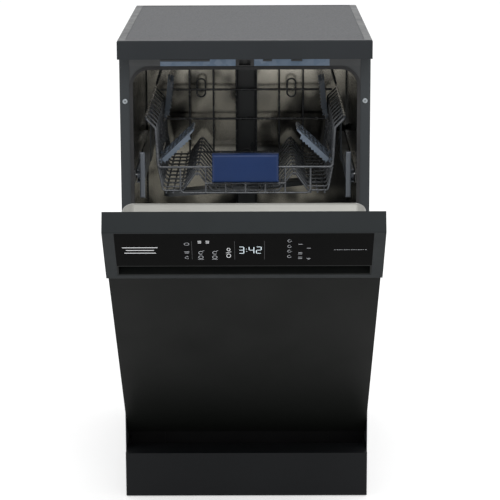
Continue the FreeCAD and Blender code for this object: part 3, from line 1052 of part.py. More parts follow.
# ---- build
def build():
    worktop()
    right_panel = side_panel()
    save("side_panel_right", right_panel)
    save("side_panel_left", mirrored(right_panel))
    save("rear_panel", rear_panel())
    save("top_crossbar", top_crossbar())
    save("latch_housing", latch_housing())
    save("flange_screws", flange_screws())
    save("base_tray", base_tray())
    save("levelling_feet", levelling_feet())
    save("kick_plate", kick_plate())
    save("tub", tub())
    save("tub_gasket", tub_gasket())
    bracket = hinge_bracket()
    save("hinge_bracket_right", bracket)
    save("hinge_bracket_left", mirrored(bracket))
    save("balance_springs", both_sides(balance_spring()))
    save("sump", sump())
    save("fine_filter", fine_filter())
    save("coarse_filter", coarse_filter())
    save("salt_cap", salt_cap())
    save("water_softener", water_softener())
    save("circulation_pump", circulation_pump())
    save("drain_pump", drain_pump())
    save("air_break_chamber", air_break_chamber())
    save("inlet_valve", inlet_valve())
    save("drain_outlet", drain_outlet())
    save("mains_gland", mains_gland())
    save("water_duct", water_duct())
    save("lower_spray_arm", spray_arm(LOWER_ARM_R, LOWER_ARM_Z, LOWER_ARM_TURN_DEG, STALK_R + 6, -5, ARM_T + 5, 4))
    save("upper_rail_right", rail())
    save("upper_rail_left", mirrored(rail()))
    save("rail_rollers_front", roller_pair(ROLLER_Y[0]))
    save("rail_rollers_rear", roller_pair(ROLLER_Y[1]))
    save("upper_basket", upper_basket())
    save("upper_basket_handle", upper_basket_handle())
    save("upper_slide_right", slide_rail())
    save("upper_slide_left", mirrored(slide_rail()))
    save("upper_arm_feed", upper_arm_feed())
    save("upper_spray_arm", spray_arm(UPPER_ARM_R, UPPER_ARM_Z, UPPER_ARM_TURN_DEG, STALK_R + 5, -3, ARM_T, 0))
    stations = floor_wire_stations()
    front_shelf = cup_shelf(stations[0] + SHELF_START, FRONT_SHELF_Z, FRONT_SHELF_DEG)
    rear_shelf = cup_shelf(stations[-4] + SHELF_START, REAR_SHELF_Z, REAR_SHELF_DEG)
    save("cup_shelf_front_left", front_shelf)
    save("cup_shelf_front_right", mirrored(front_shelf))
    save("cup_shelf_rear_left", rear_shelf)
    save("cup_shelf_rear_right", mirrored(rear_shelf))
    save("lower_basket", lower_basket())
    save("lower_basket_handle", lower_basket_handle())
    save("lower_wheels_front", lower_wheel_pair(WHEEL_Y[0]))
    save("lower_wheels_rear", lower_wheel_pair(WHEEL_Y[1]))
    arm = hinge_arm()
    door_parts = {"console": console(), "control_window": control_window(), "grip_recess": grip_recess(),
                  "control_board": control_board(), "door_outer_panel": door_outer_panel(),
                  "door_liner": door_liner(), "detergent_dispenser": dispenser(),
                  "detergent_lid": detergent_lid(), "rinse_aid_cap": rinse_aid_cap(),
                  "latch_bolt": latch_bolt(), "door_bottom_seal": door_bottom_seal(),
                  "hinge_arm_right": arm, "hinge_arm_left": mirrored(arm)}
    for name, shape in door_parts.items():
        save(name, swung(shape))


build()
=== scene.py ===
"""Looks for the slimline dishwasher: materials for every CAD piece and the fine detail around them."""
import math
import bmesh
import bpy
from mathutils import Matrix, Vector


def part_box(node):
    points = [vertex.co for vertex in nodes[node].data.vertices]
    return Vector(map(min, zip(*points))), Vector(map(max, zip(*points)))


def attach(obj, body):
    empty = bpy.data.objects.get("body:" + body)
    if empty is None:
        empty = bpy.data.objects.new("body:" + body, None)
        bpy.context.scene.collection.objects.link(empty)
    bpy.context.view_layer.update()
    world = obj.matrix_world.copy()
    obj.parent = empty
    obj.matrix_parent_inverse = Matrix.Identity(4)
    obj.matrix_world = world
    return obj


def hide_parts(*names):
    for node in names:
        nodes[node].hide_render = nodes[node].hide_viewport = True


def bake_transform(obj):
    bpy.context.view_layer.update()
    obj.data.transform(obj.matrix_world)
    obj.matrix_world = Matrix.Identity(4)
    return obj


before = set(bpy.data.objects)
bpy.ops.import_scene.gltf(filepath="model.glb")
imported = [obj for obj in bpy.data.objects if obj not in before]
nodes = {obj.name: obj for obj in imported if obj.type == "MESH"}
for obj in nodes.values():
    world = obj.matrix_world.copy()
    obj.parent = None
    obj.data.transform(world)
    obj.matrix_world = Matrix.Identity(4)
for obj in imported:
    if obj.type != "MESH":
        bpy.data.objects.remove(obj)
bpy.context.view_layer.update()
scene = bpy.context.scene
MM = 0.001


# ---- camera, floor and light
CAMERA_PLACE = (0.0204, -3.8255, 1.2704)
CAMERA_DOWN_DEG = 12.798
CAMERA_ROLL_DEG = 0.203
CAMERA_TURN_DEG = 0.155
CAMERA_LENS = 145.52
CAMERA_SENSOR = 36.0
CAMERA_CLIP_END = 60.0
WORLD_STRENGTH = 0.95
FLOOR_HALF = 14.0
FLOOR_CUTS = 3
FLOOR_GREY = 0.55
FLOOR_GLOW = 0.5
# name, place, point it looks at, width and height, watts
LAMPS = (("key", (0.6, -2.6, 3.4), (0, -0.2, 0.5), (2.6, 1.6), 55),
         ("left_fill", (-3.2, -1.6, 1.6), (0, 0, 0.5), (1.4, 2.2), 18),
         ("right_fill", (3.2, -1.6, 1.6), (0, 0, 0.5), (1.4, 2.2), 18),
         ("back_fill", (0, 3.2, 2.4), (0, 0.2, 0.5), (2.4, 1.4), 20))


def make_camera():
    data = bpy.data.cameras.new("camera")
    data.lens = CAMERA_LENS
    data.sensor_width = CAMERA_SENSOR
    data.clip_end = CAMERA_CLIP_END
    cam = bpy.data.objects.new("camera", data)
    cam.location = CAMERA_PLACE
    cam.rotation_euler = [math.radians(a) for a in (90 - CAMERA_DOWN_DEG, CAMERA_ROLL_DEG, CAMERA_TURN_DEG)]
    scene.collection.objects.link(cam)
    scene.camera = cam


def area_light(name, place, look_at, size, power):
    data = bpy.data.lights.new(name, "AREA")
    data.shape = "RECTANGLE"
    data.size, data.size_y = size
    data.energy = power
    lamp = bpy.data.objects.new(name, data)
    lamp.location = place
    lamp.rotation_euler = (Vector(look_at) - Vector(place)).to_track_quat("-Z", "Y").to_euler()
    scene.collection.objects.link(lamp)


def make_stage():
    """White surroundings, a pale floor that glows a little, and four soft lamps."""
    world = bpy.data.worlds.new("studio")
    scene.world = world
    world.use_nodes = True
    back = world.node_tree.nodes["Background"]
    back.inputs["Color"].default_value = (1.0, 1.0, 1.0, 1)
    back.inputs["Strength"].default_value = WORLD_STRENGTH
    mesh = bpy.data.meshes.new("floor")
    bm = bmesh.new()
    around = ((-FLOOR_HALF, -FLOOR_HALF), (FLOOR_HALF, -FLOOR_HALF),
              (FLOOR_HALF, FLOOR_HALF), (-FLOOR_HALF, FLOOR_HALF))
    bm.faces.new([bm.verts.new((x, y, 0)) for x, y in around])
    bmesh.ops.subdivide_edges(bm, edges=bm.edges[:], cuts=FLOOR_CUTS, use_grid_fill=True)
    bm.to_mesh(mesh)
    floor = bpy.data.objects.new("floor", mesh)
    scene.collection.objects.link(floor)
    mat = bpy.data.materials.new("floor_paper")
    mat.use_nodes = True
    bsdf = mat.node_tree.nodes["Principled BSDF"]
    bsdf.inputs["Base Color"].default_value = (FLOOR_GREY, FLOOR_GREY, FLOOR_GREY, 1)
    bsdf.inputs["Roughness"].default_value = 0.8
    bsdf.inputs["Specular IOR Level"].default_value = 0.1
    bsdf.inputs["Emission Color"].default_value = (1.0, 1.0, 1.0, 1)
    bsdf.inputs["Emission Strength"].default_value = FLOOR_GLOW
    mesh.materials.append(mat)
    for lamp in LAMPS:
        area_light(*lamp)


scene.view_settings.view_transform = "Standard"
scene.view_settings.look = "None"
make_camera()
make_stage()


# ---- materials
NOISE_ROUGHNESS = 0.55
STEEL_GRAIN_MM = 0.012
ZINC_CELLS = 90.0


class Mat:
    """A principled material with its nodes built in a few lines."""

    def __init__(self, name, rough=0.5, metal=0.0, spec=0.5):
        self.mat = bpy.data.materials.new(name)
        self.mat.use_nodes = True
        self.tree = self.mat.node_tree
        self.bsdf = self.tree.nodes["Principled BSDF"]
        self.set("Roughness", rough)
        self.set("Metallic", metal)
        self.set("Specular IOR Level", spec)
        self.coord = self.node("ShaderNodeTexCoord").outputs["Object"]
        self.bump_from = None

    def set(self, socket, value):
        self.bsdf.inputs[socket].default_value = value

    def node(self, kind, **settings):
        n = self.tree.nodes.new(kind)
        for key, value in settings.items():
            setattr(n, key, value)
        return n

    def link(self, a, b):
        self.tree.links.new(a, b)

    def mapped(self, stretch):
        m = self.node("ShaderNodeMapping")
        m.inputs["Scale"].default_value = stretch
        self.link(self.coord, m.inputs["Vector"])
        return m.outputs["Vector"]

    def noise(self, scale, detail=3.0, stretch=(1, 1, 1)):
        n = self.node("ShaderNodeTexNoise")
        n.inputs["Scale"].default_value = scale
        n.inputs["Detail"].default_value = detail
        n.inputs["Roughness"].default_value = NOISE_ROUGHNESS
        self.link(self.mapped(stretch), n.inputs["Vector"])
        return n.outputs["Fac"]

    def cells(self, scale):
        n = self.node("ShaderNodeTexVoronoi", feature="F1")
        n.inputs["Scale"].default_value = scale
        self.link(self.mapped((1, 1, 1)), n.inputs["Vector"])
        return n

    def ramp(self, source, stops):
        r = self.node("ShaderNodeValToRGB")
        while len(r.color_ramp.elements) < len(stops):
            r.color_ramp.elements.new(0.5)
        for element, (at, colour) in zip(r.color_ramp.elements, stops):
            element.position = at
            element.color = tuple(colour) + (1,)
        self.link(source, r.inputs["Fac"])
        return r.outputs["Color"]

    def grey(self, source, low, high, start=0.3, end=0.7):
        m = self.node("ShaderNodeMapRange")
        for socket, value in (("From Min", start), ("From Max", end), ("To Min", low), ("To Max", high)):
            m.inputs[socket].default_value = value
        self.link(source, m.inputs["Value"])
        return m.outputs["Result"]

    def math(self, operation, a, b=None):
        m = self.node("ShaderNodeMath", operation=operation)
        for socket, value in zip(m.inputs, (a, b)):
            if value is None:
                continue
            if isinstance(value, (int, float)):
                socket.default_value = value
            else:
                self.link(value, socket)
        return m.outputs[0]

    def mix(self, factor, a, b):
        m = self.node("ShaderNodeMix", data_type="RGBA")
        for name, value in (("Factor", factor), ("A", a), ("B", b)):
            kind = "VALUE" if name == "Factor" else "RGBA"
            socket = [s for s in m.inputs if s.name == name and s.type == kind][0]
            if isinstance(value, (tuple, list)):
                socket.default_value = tuple(value) + (1,)
            else:
                self.link(value, socket)
        return [s for s in m.outputs if s.type == "RGBA"][0]

    def axis(self, which):
        s = self.node("ShaderNodeSeparateXYZ")
        self.link(self.coord, s.inputs[0])
        return s.outputs[which]

    def colour(self, source):
        self.link(source, self.bsdf.inputs["Base Color"])

    def two_tone(self, scale, low, high):
        """Colour that drifts softly between two tones."""
        self.colour(self.ramp(self.noise(scale, 3), ((0.3, low), (0.7, high))))

    def rough(self, source):
        self.link(source, self.bsdf.inputs["Roughness"])

    def bump(self, source, depth_mm, strength=0.5):
        b = self.node("ShaderNodeBump")
        b.inputs["Strength"].default_value = strength
        b.inputs["Distance"].default_value = depth_mm * MM
        self.link(source, b.inputs["Height"])
        if self.bump_from is not None:
            self.link(self.bump_from, b.inputs["Normal"])
        self.bump_from = b.outputs["Normal"]
        self.link(self.bump_from, self.bsdf.inputs["Normal"])


def spread(colour, amount):
    return tuple(c * (1 - amount) for c in colour), tuple(min(1.0, c * (1 + amount)) for c in colour)


def plastic(name, colour, rough=0.4, grain=900.0, depth=0.03, vary=0.08, spec=0.5):
    """Moulded plastic: slight flow variation in colour, a fine spark-eroded grain and dull patches."""
    m = Mat(name, rough, spec=spec)
    low, high = spread(colour, vary)
    m.colour(m.ramp(m.noise(14.0, 4), ((0.3, low), (0.7, high))))
    m.rough(m.grey(m.noise(30.0, 4), rough - 0.06, rough + 0.08))
    m.bump(m.noise(grain, 2), depth, 0.35)
    return m


def enamel(name, colour, rough=0.38, spec=0.45):
    """Powder coat: orange-peel surface and faint wiping marks."""
    m = Mat(name, rough, spec=spec)
    low, high = spread(colour, 0.06)
    m.colour(m.ramp(m.noise(6.0, 3), ((0.3, low), (0.7, high))))
    m.rough(m.grey(m.noise(9.0, 5, (1, 1, 0.25)), rough - 0.05, rough + 0.07))
    m.bump(m.noise(420.0, 2), 0.05, 0.22)
    return m


def steel(name, colour, rough, along):
    """Rolled stainless sheet: grain along the rolling direction, smudges in its gloss."""
    m = Mat(name, rough, metal=1.0)
    low, high = spread(colour, 0.07)
    grain = m.noise(520.0, 3, along)
    m.colour(m.ramp(m.noise(5.0, 4), ((0.3, low), (0.7, high))))
    m.rough(m.grey(m.math("ADD", m.math("MULTIPLY", grain, 0.5), m.math("MULTIPLY", m.noise(7.0, 4), 0.5)),
                   rough - 0.1, rough + 0.14))
    m.bump(grain, STEEL_GRAIN_MM, 0.3)
    return m


def make_materials():
    made = {}
    # worktop: laminate with a pebbled surface, rim in moulded plastic
    m = Mat("laminate", 0.5, spec=0.07)
    m.colour(m.ramp(m.noise(420.0, 3), ((0.35, (0.026, 0.028, 0.033)), (0.65, (0.036, 0.038, 0.043)))))
    m.rough(m.grey(m.noise(300.0, 3), 0.46, 0.56))
    m.bump(m.cells(700.0).outputs["Distance"], 0.05, 0.3)
    made["worktop_board"] = m
    made["worktop_frame"] = plastic("rim_plastic", (0.017, 0.0195, 0.022), 0.46, 700.0, 0.04, 0.04, 0.16)
    black = enamel("black_enamel", (0.027, 0.031, 0.034), 0.4, 0.25)
    for name in ("side_panel_left", "side_panel_right"):
        made[name] = black
    made["kick_plate"] = enamel("plinth_enamel", (0.0072, 0.0078, 0.0086), 0.42, 0.1)
    made["door_outer_panel"] = enamel("door_enamel", (0.0048, 0.0053, 0.0048), 0.4, 0.05)
    made["rear_panel"] = galvanised("rear_zinc")
    made["top_crossbar"] = crossbar_zinc()
    made["latch_housing"] = plastic("latch_plastic", (0.012, 0.012, 0.013), 0.45)
    made["flange_screws"] = steel("screw_nickel", (0.34, 0.37, 0.39), 0.3, (1, 1, 1))
    made["base_tray"] = plastic("tray_plastic", (0.008, 0.008, 0.0085), 0.5, spec=0.1)
    made["levelling_feet"] = plastic("foot_plastic", (0.018, 0.018, 0.02), 0.5)
    made["tub"] = tub_steel()
    rubber = Mat("gasket_rubber", 0.62, spec=0.35)
    rubber.two_tone(40.0, (0.010, 0.010, 0.011), (0.019, 0.019, 0.02))
    rubber.bump(rubber.noise(500.0, 3), 0.05, 0.4)
    made["tub_gasket"] = rubber
    made["door_bottom_seal"] = rubber
    zinc = galvanised("bracket_zinc")
    for name in ("hinge_bracket_left", "hinge_bracket_right", "hinge_arm_left", "hinge_arm_right"):
        made[name] = zinc
    made["balance_springs"] = steel("spring_wire", (0.45, 0.45, 0.44), 0.32, (1, 1, 1))
    made["sump"] = plastic("wet_plastic", (0.20, 0.21, 0.22), 0.42)
    for name in ("circulation_pump", "drain_pump"):
        made[name] = plastic("pump_plastic", (0.05, 0.052, 0.055), 0.45)
    made["fine_filter"] = sieve_steel()
    made["coarse_filter"] = plastic("filter_plastic", (0.16, 0.17, 0.18), 0.4)
    made["salt_cap"] = plastic("salt_cap_plastic", (0.10, 0.11, 0.12), 0.4)
    white = plastic("softener_plastic", (0.55, 0.55, 0.52), 0.4)
    for name in ("water_softener", "air_break_chamber", "inlet_valve"):
        made[name] = white
    made["drain_outlet"] = plastic("outlet_plastic", (0.06, 0.062, 0.065), 0.45)
    made["mains_gland"] = rubber
    made["water_duct"] = plastic("duct_plastic", (0.038, 0.043, 0.047), 0.32, 600.0)
    made["lower_spray_arm"] = plastic("arm_plastic", (0.11, 0.13, 0.16), 0.36)
    made["upper_spray_arm"] = plastic("upper_arm_plastic", (0.05, 0.056, 0.06), 0.4)
    made["upper_arm_feed"] = made["water_duct"]
    rail = steel("rail_steel", (0.42, 0.43, 0.44), 0.3, (1, 0.03, 1))
    for name in ("upper_rail_left", "upper_rail_right"):
        made[name] = rail
    for name in ("upper_slide_left", "upper_slide_right"):
        made[name] = plastic("slide_plastic", (0.085, 0.096, 0.112), 0.34)
    for name in ("rail_rollers_front", "rail_rollers_rear", "lower_wheels_front", "lower_wheels_rear"):
        made[name] = plastic("wheel_plastic", (0.16, 0.18, 0.21), 0.38)
    wire = coated_wire()
    for name in ("upper_basket", "lower_basket"):
        made[name] = wire
    handle = plastic("handle_plastic", (0.010, 0.027, 0.092), 0.4, 600.0, 0.03, 0.08, 0.3)
    for name in ("upper_basket_handle", "lower_basket_handle"):
        made[name] = handle
    shelf = plastic("shelf_plastic", (0.105, 0.132, 0.17), 0.26, 240.0, 0.10, 0.12, 0.6)
    for name in [n for n in nodes if n.startswith("cup_shelf_")]:
        made[name] = shelf
    made["console"] = plastic("console_plastic", (0.0125, 0.0150, 0.0162), 0.44, 800.0, 0.03, 0.05, 0.12)
    made["control_window"] = gloss_window()
    made["grip_recess"] = plastic("grip_plastic", (0.010, 0.011, 0.0105), 0.45, spec=0.1)
    made["control_board"] = plastic("board_green", (0.02, 0.09, 0.04), 0.5)
    made["door_liner"] = steel("liner_steel", (0.285, 0.284, 0.266), 0.36, (0.05, 1, 1))
    made["detergent_dispenser"] = plastic("dispenser_plastic", (0.12, 0.13, 0.14), 0.38)
    made["detergent_lid"] = plastic("lid_plastic", (0.2, 0.21, 0.22), 0.36)
    made["rinse_aid_cap"] = plastic("rinse_plastic", (0.08, 0.1, 0.13), 0.36)
    made["latch_bolt"] = made["door_liner"]
    for name, m in made.items():
        data = nodes[name].data
        data.materials.clear()
        data.materials.append(m.mat)
    missing = sorted(set(nodes) - set(made))
    if missing:
        raise RuntimeError("no material for %s" % missing)


def zinc_colour(m, low=(0.31, 0.33, 0.36), high=(0.39, 0.41, 0.44)):
    """Spangle: cells of slightly different brightness."""
    cells = m.cells(ZINC_CELLS)
    spangle = m.node("ShaderNodeSeparateColor")
    m.link(cells.outputs["Color"], spangle.inputs[0])
    return m.ramp(spangle.outputs[0], ((0.0, low), (1.0, high)))


def galvanised(name):
    m = Mat(name, 0.36, metal=0.85)
    m.colour(zinc_colour(m))
    m.rough(m.grey(m.cells(ZINC_CELLS).outputs["Distance"], 0.3, 0.46, 0.0, 0.8))
    m.bump(m.noise(260.0, 3), 0.02, 0.3)
    return m


# Metres: the painted stretch at each end of the crossbar, and where the tub's flange and side walls begin.
PAINTED_END = 0.055
FLANGE_BEHIND_GASKET = 0.0035
WALL_INSIDE_FLANGE = 0.0185


def crossbar_zinc():
    """Zinc in the middle and painted towards both corners, as the sprayed frame leaves it."""
    m = Mat("crossbar_zinc", 0.38)
    away = m.math("ABSOLUTE", m.axis("X"))
    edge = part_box("top_crossbar")[1].x - PAINTED_END
    painted = m.math("GREATER_THAN", away, edge)
    m.colour(m.mix(painted, zinc_colour(m, (0.10, 0.135, 0.185), (0.14, 0.175, 0.225)), (0.03, 0.033, 0.035)))
    m.link(m.math("SUBTRACT", 1.0, painted), m.bsdf.inputs["Metallic"])
    m.rough(m.grey(m.noise(60.0, 3), 0.32, 0.45))
    return m


def tub_steel():
    """Stainless inside, enamelled on the flange round the opening; painted reflections in the colour: a
    bright back wall with beige lit patches and dark blotches, dark drawn sides with vertical light streaks.
    """
    m = Mat("tub_steel", 0.22)
    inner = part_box("tub")[1].x - WALL_INSIDE_FLANGE
    flange = m.math("LESS_THAN", m.axis("Y"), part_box("tub_gasket")[0].y + FLANGE_BEHIND_GASKET)
    sides = m.math("GREATER_THAN", m.math("ABSOLUTE", m.axis("X")), inner)
    # Painted reflection: beige lit patches and dark blotches on the back wall, placed by this noise.
    reflection_patches = m.noise(6.5, 3, (1, 1, 0.8))
    back = m.ramp(reflection_patches, ((0.40, (0.035, 0.035, 0.035)), (0.46, (0.16, 0.155, 0.14)),
                           (0.52, (0.62, 0.59, 0.52)), (0.75, (0.80, 0.76, 0.67))))
    # Painted reflection: vertical light streaks on the otherwise dark side walls.
    side_wall_reflection = m.ramp(m.noise(34.0, 4, (1, 1, 0.06)),
                    ((0.42, (0.022, 0.022, 0.023)), (0.56, (0.075, 0.076, 0.077)),
                     (0.72, (0.30, 0.30, 0.29))))
    inside = m.mix(sides, back, side_wall_reflection)
    m.colour(m.mix(flange, inside, (0.024, 0.027, 0.029)))
    m.link(m.math("SUBTRACT", 1.0, flange), m.bsdf.inputs["Metallic"])
    grain = m.noise(300.0, 3, (1, 0.04, 1))
    shine = m.grey(reflection_patches, 0.10, 0.2)
    m.rough(m.math("MAXIMUM", shine, m.math("MULTIPLY", flange, 0.4)))
    m.bump(m.noise(3.4, 2), 9.0, 0.22)
    m.bump(grain, 0.01, 0.2)
    return m


def sieve_steel():
    """Fine sieve: a close grid of round holes, drawn as near-black spots of painted shade in the colour and
    as dents in the bump.
    """
    m = Mat("sieve_steel", 0.34, metal=1.0)
    holes = m.cells(420.0).outputs["Distance"]
    # Painted shade: each hole is a near-black spot standing in for the dark seen through it.
    m.colour(m.ramp(holes, ((0.28, (0.03, 0.03, 0.03)), (0.42, (0.5, 0.49, 0.46)))))
    m.bump(holes, 0.3, 0.5)
    return m


def coated_wire():
    """Nylon-coated wire: satin, blue-grey, paler where cutlery has rubbed it."""
    m = Mat("coated_wire", 0.3, spec=0.75)
    rub = m.noise(60.0, 5)
    m.colour(m.ramp(rub, ((0.35, (0.032, 0.036, 0.042)), (0.55, (0.055, 0.06, 0.068)),
                          (0.8, (0.10, 0.105, 0.115)))))
    m.rough(m.grey(m.noise(150.0, 3), 0.14, 0.32))
    m.bump(m.noise(350.0, 2), 0.08, 0.3)
    return m


def gloss_window():
    m = Mat("window_gloss", 0.2, spec=0.02)
    m.two_tone(30.0, (0.0010, 0.0010, 0.0010), (0.0014, 0.0014, 0.0013))
    m.rough(m.grey(m.noise(8.0, 4), 0.16, 0.26))
    return m


make_materials()


# ---- pieces
def piece(name, bm, material, body, smooth=False):
    """Turns a bmesh into an object that rides on a body."""
    mesh = bpy.data.meshes.new(name)
    bmesh.ops.recalc_face_normals(bm, faces=bm.faces[:])
    bm.to_mesh(mesh)
    bm.free()
    for face in mesh.polygons:
        face.use_smooth = smooth
    obj = bpy.data.objects.new(name, mesh)
    scene.collection.objects.link(obj)
    mesh.materials.append(material.mat)
    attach(obj, body)
    return obj


class Face:
    """A flat face of a CAD node with its own axes: u to the right, v up along it, n outward."""

    def __init__(self, node, outward):
        mesh = nodes[node].data
        best = {}
        for poly in mesh.polygons:
            key = tuple(round(c, 2) for c in poly.normal)
            if poly.normal.dot(Vector(outward)) > 0.3:
                found = best.setdefault(key, [0.0, [], Vector()])
                found[0] += poly.area
                found[1] += [mesh.vertices[i].co for i in poly.vertices]
                found[2] += poly.normal * poly.area
        points, normal = max(best.values(), key=lambda item: item[0])[1:]
        normal = normal.normalized()
        self.u = Vector((1, 0, 0))
        self.n = normal
        self.v = normal.cross(self.u).normalized()
        if self.v.z < 0:
            self.v = -self.v
        us = [p.dot(self.u) for p in points]
        vs = [p.dot(self.v) for p in points]
        self.half_u, self.half_v = (max(us) - min(us)) / 2, (max(vs) - min(vs)) / 2
        self.centre = (self.u * (max(us) + min(us)) / 2 + self.v * (max(vs) + min(vs)) / 2
                       + self.n * points[0].dot(self.n))

    def at(self, u_mm, v_mm, lift_mm):
        return self.centre + self.u * u_mm * MM + self.v * v_mm * MM + self.n * lift_mm * MM


PRINT_LIFT = 0.08
PRINT_THICK = 0.06
RING_STEPS = 20


def add_outline(bm, face, points, lift):
    """A thin raised print: a closed outline of (u, v) millimetres on a face."""
    low = [bm.verts.new(face.at(u, v, lift - PRINT_THICK)) for u, v in points]
    high = [bm.verts.new(face.at(u, v, lift)) for u, v in points]
    bm.faces.new(high)
    for i in range(len(points)):
        j = (i + 1) % len(points)
        bm.faces.new((low[i], low[j], high[j], high[i]))


def add_ring(bm, face, cu, cv, radius, width, squash, start=0.0, sweep=360.0):
    """A printed ring or arc, squash times as tall as it is wide."""
    count = max(4, int(RING_STEPS * sweep / 360.0))
    closed = sweep >= 359.9
    rows = []
    for k in range(count if closed else count + 1):
        a = math.radians(start + sweep * k / count)
        c, s = math.cos(a), math.sin(a) * squash
        rows.append((bm.verts.new(face.at(cu + radius * c, cv + radius * s, PRINT_LIFT)),
                     bm.verts.new(face.at(cu + (radius - width) * c, cv + (radius - width) * s, PRINT_LIFT))))
    for k in range(len(rows) if closed else len(rows) - 1):
        a, b = rows[k], rows[(k + 1) % len(rows)]
        bm.faces.new((a[0], b[0], b[1], a[1]))


def bar(bm, face, u0, v0, u1, v1, width, lift=PRINT_LIFT):
    """A printed straight stroke with slightly pointed ends."""
    a, b = Vector((u0, v0)), Vector((u1, v1))
    d = (b - a).normalized()
    side = Vector((-d.y, d.x)) * width / 2
    tip = d * width * 0.35
    points = [a - tip, a + side, b + side, b + tip, b - side, a - side]
    add_outline(bm, face, [(p.x, p.y) for p in points], lift)


def print_ink(name, low, high):
    """Screen-printed ink, slightly uneven."""
    ink = Mat(name, 0.5, spec=0.3)
    ink.two_tone(400.0, low, high)
    return ink


# The window's prints: millimetres to the right of its middle, and above it.
KEY_U = -91.0
PROGRAMME_U = (-69.0, -46.8)
STRONG_U = -24.6
LAMP_U = 72.0
LAMP_V = (24.5, 9.5, -4.1, -19.1)
OPTION_U = (86.5, 92.3)
OPTION_V = (15.0, -8.2, -12.0, -21.0, -25.0)
TIMER_U = (100.0, 105.8)
TIMER_V = (4.1, -24.5)
PAIR_U = (-70.5, -57.9)
RULE_U = (-83.0, -15.0, 32.4)
RULE_V = (24.0, -27.0)
MARK_U = -165.5
MARK_LENGTHS = (56.0, 44.0, 50.0)
FINE_U = 143.5
FINE_V = -0.6
FINE_STEP = 3.75
FINE_COUNT = 14
MARK_V = 6.5
MARK_STEP = 7.5


def key_icons(bm, face):
    """Start and option keys at the left."""
    add_ring(bm, face, KEY_U, 16.4, 4.2, 0.8, 0.9)
    bar(bm, face, KEY_U - 4, -5.2, KEY_U + 3.5, -5.2, 1.3)
    bar(bm, face, KEY_U - 3, -8.6, KEY_U + 2.5, -8.6, 1.3)
    add_ring(bm, face, KEY_U, -21.8, 3.6, 0.8, 0.9, 40, 280)
    bar(bm, face, KEY_U, -19.5, KEY_U, -17.0, 0.8)


def programme_icons(bm, face):
    """A pot over a plate for each of two programmes."""
    for u in PROGRAMME_U:
        add_ring(bm, face, u, -8, 3.6, 0.9, 1.3, 20, 300)
        bar(bm, face, u + 2.4, -3.8, u + 5.4, -1.6, 0.8)
        add_ring(bm, face, u, -20.5, 4.0, 0.9, 1.1)
        bar(bm, face, u - 4.4, -26.4, u + 4.4, -26.4, 0.9)


def indicator_icons(bm, face):
    """Lamps, option strokes and the fine broken line at the right."""
    for v in LAMP_V:
        add_ring(bm, face, LAMP_U, v, 3.1, 0.7, 1.2, 60, 300)
    for v in OPTION_V:
        bar(bm, face, OPTION_U[0], v, OPTION_U[1], v, 1.1)
    for v in TIMER_V:
        bar(bm, face, TIMER_U[0], v, TIMER_U[1], v, 1.1)
    bar(bm, face, TIMER_U[0] + 1.5, TIMER_V[1] - 2.5, TIMER_U[1] - 1.5, TIMER_V[1] - 2.5, 1.0)
    for k in range(FINE_COUNT):
        u = FINE_U + k * FINE_STEP
        bar(bm, face, u, FINE_V, u + (2.4 if k % 3 else 1.5), FINE_V, 1.0)


def bright_icons(bm, face):
    """The chosen programme's signs, and plain bars where a maker's mark would be."""
    for u in PAIR_U:
        bar(bm, face, u - 2.6, 24.2, u + 2.6, 24.2, 1.5)
        bar(bm, face, u - 2.2, 19.6, u + 2.2, 19.6, 2.0)
    add_ring(bm, face, STRONG_U, 1.0, 2.8, 0.8, 1.6)
    add_ring(bm, face, STRONG_U, -16.5, 3.6, 0.9, 1.6)
    bar(bm, face, STRONG_U - 4.0, -8.4, STRONG_U + 4.0, -5.4, 1.0)
    for k, length in enumerate(MARK_LENGTHS):
        v = MARK_V - MARK_STEP * k
        bar(bm, face, MARK_U - length / 2, v, MARK_U + length / 2, v, 1.6)


def rules(bm, face):
    """Faint upright rules between the groups."""
    for u in RULE_U:
        bar(bm, face, u, RULE_V[0], u, RULE_V[1], 0.55)


def control_graphics():
    face = Face("control_window", (0, -1, -1))
    grey = print_ink("print_grey", (0.30, 0.31, 0.33), (0.42, 0.43, 0.45))
    bright = print_ink("print_white", (0.62, 0.63, 0.65), (0.78, 0.79, 0.8))
    faint = print_ink("print_rule", (0.03, 0.03, 0.032), (0.05, 0.05, 0.053))
    for name, ink, draws in (("panel_print", grey, (key_icons, programme_icons, indicator_icons)),
                             ("panel_print_bright", bright, (bright_icons,)),
                             ("panel_rules", faint, (rules,))):
        bm = bmesh.new()
        for draw in draws:
            draw(bm, face)
        piece(name, bm, ink, "door")
    display_digits(face)


# The display's figures: which strokes each has, where each stands, and their size in millimetres.
SEGMENTS = {"3": "abcdg", "4": "bcfg", "2": "abdeg"}
FIGURES = ((-8.0, "3"), (8.0, "4"), (19.6, "2"))
FIGURE_W = 7.6
FIGURE_H = 18.0
FIGURE_STROKE = 1.3
FIGURE_FOOT = -10.0
STROKE_GAP = 0.8
FIGURE_LIFT = 0.06
COLON_U = (3.6, 4.4)
COLON_V = (5.5, 12.0)


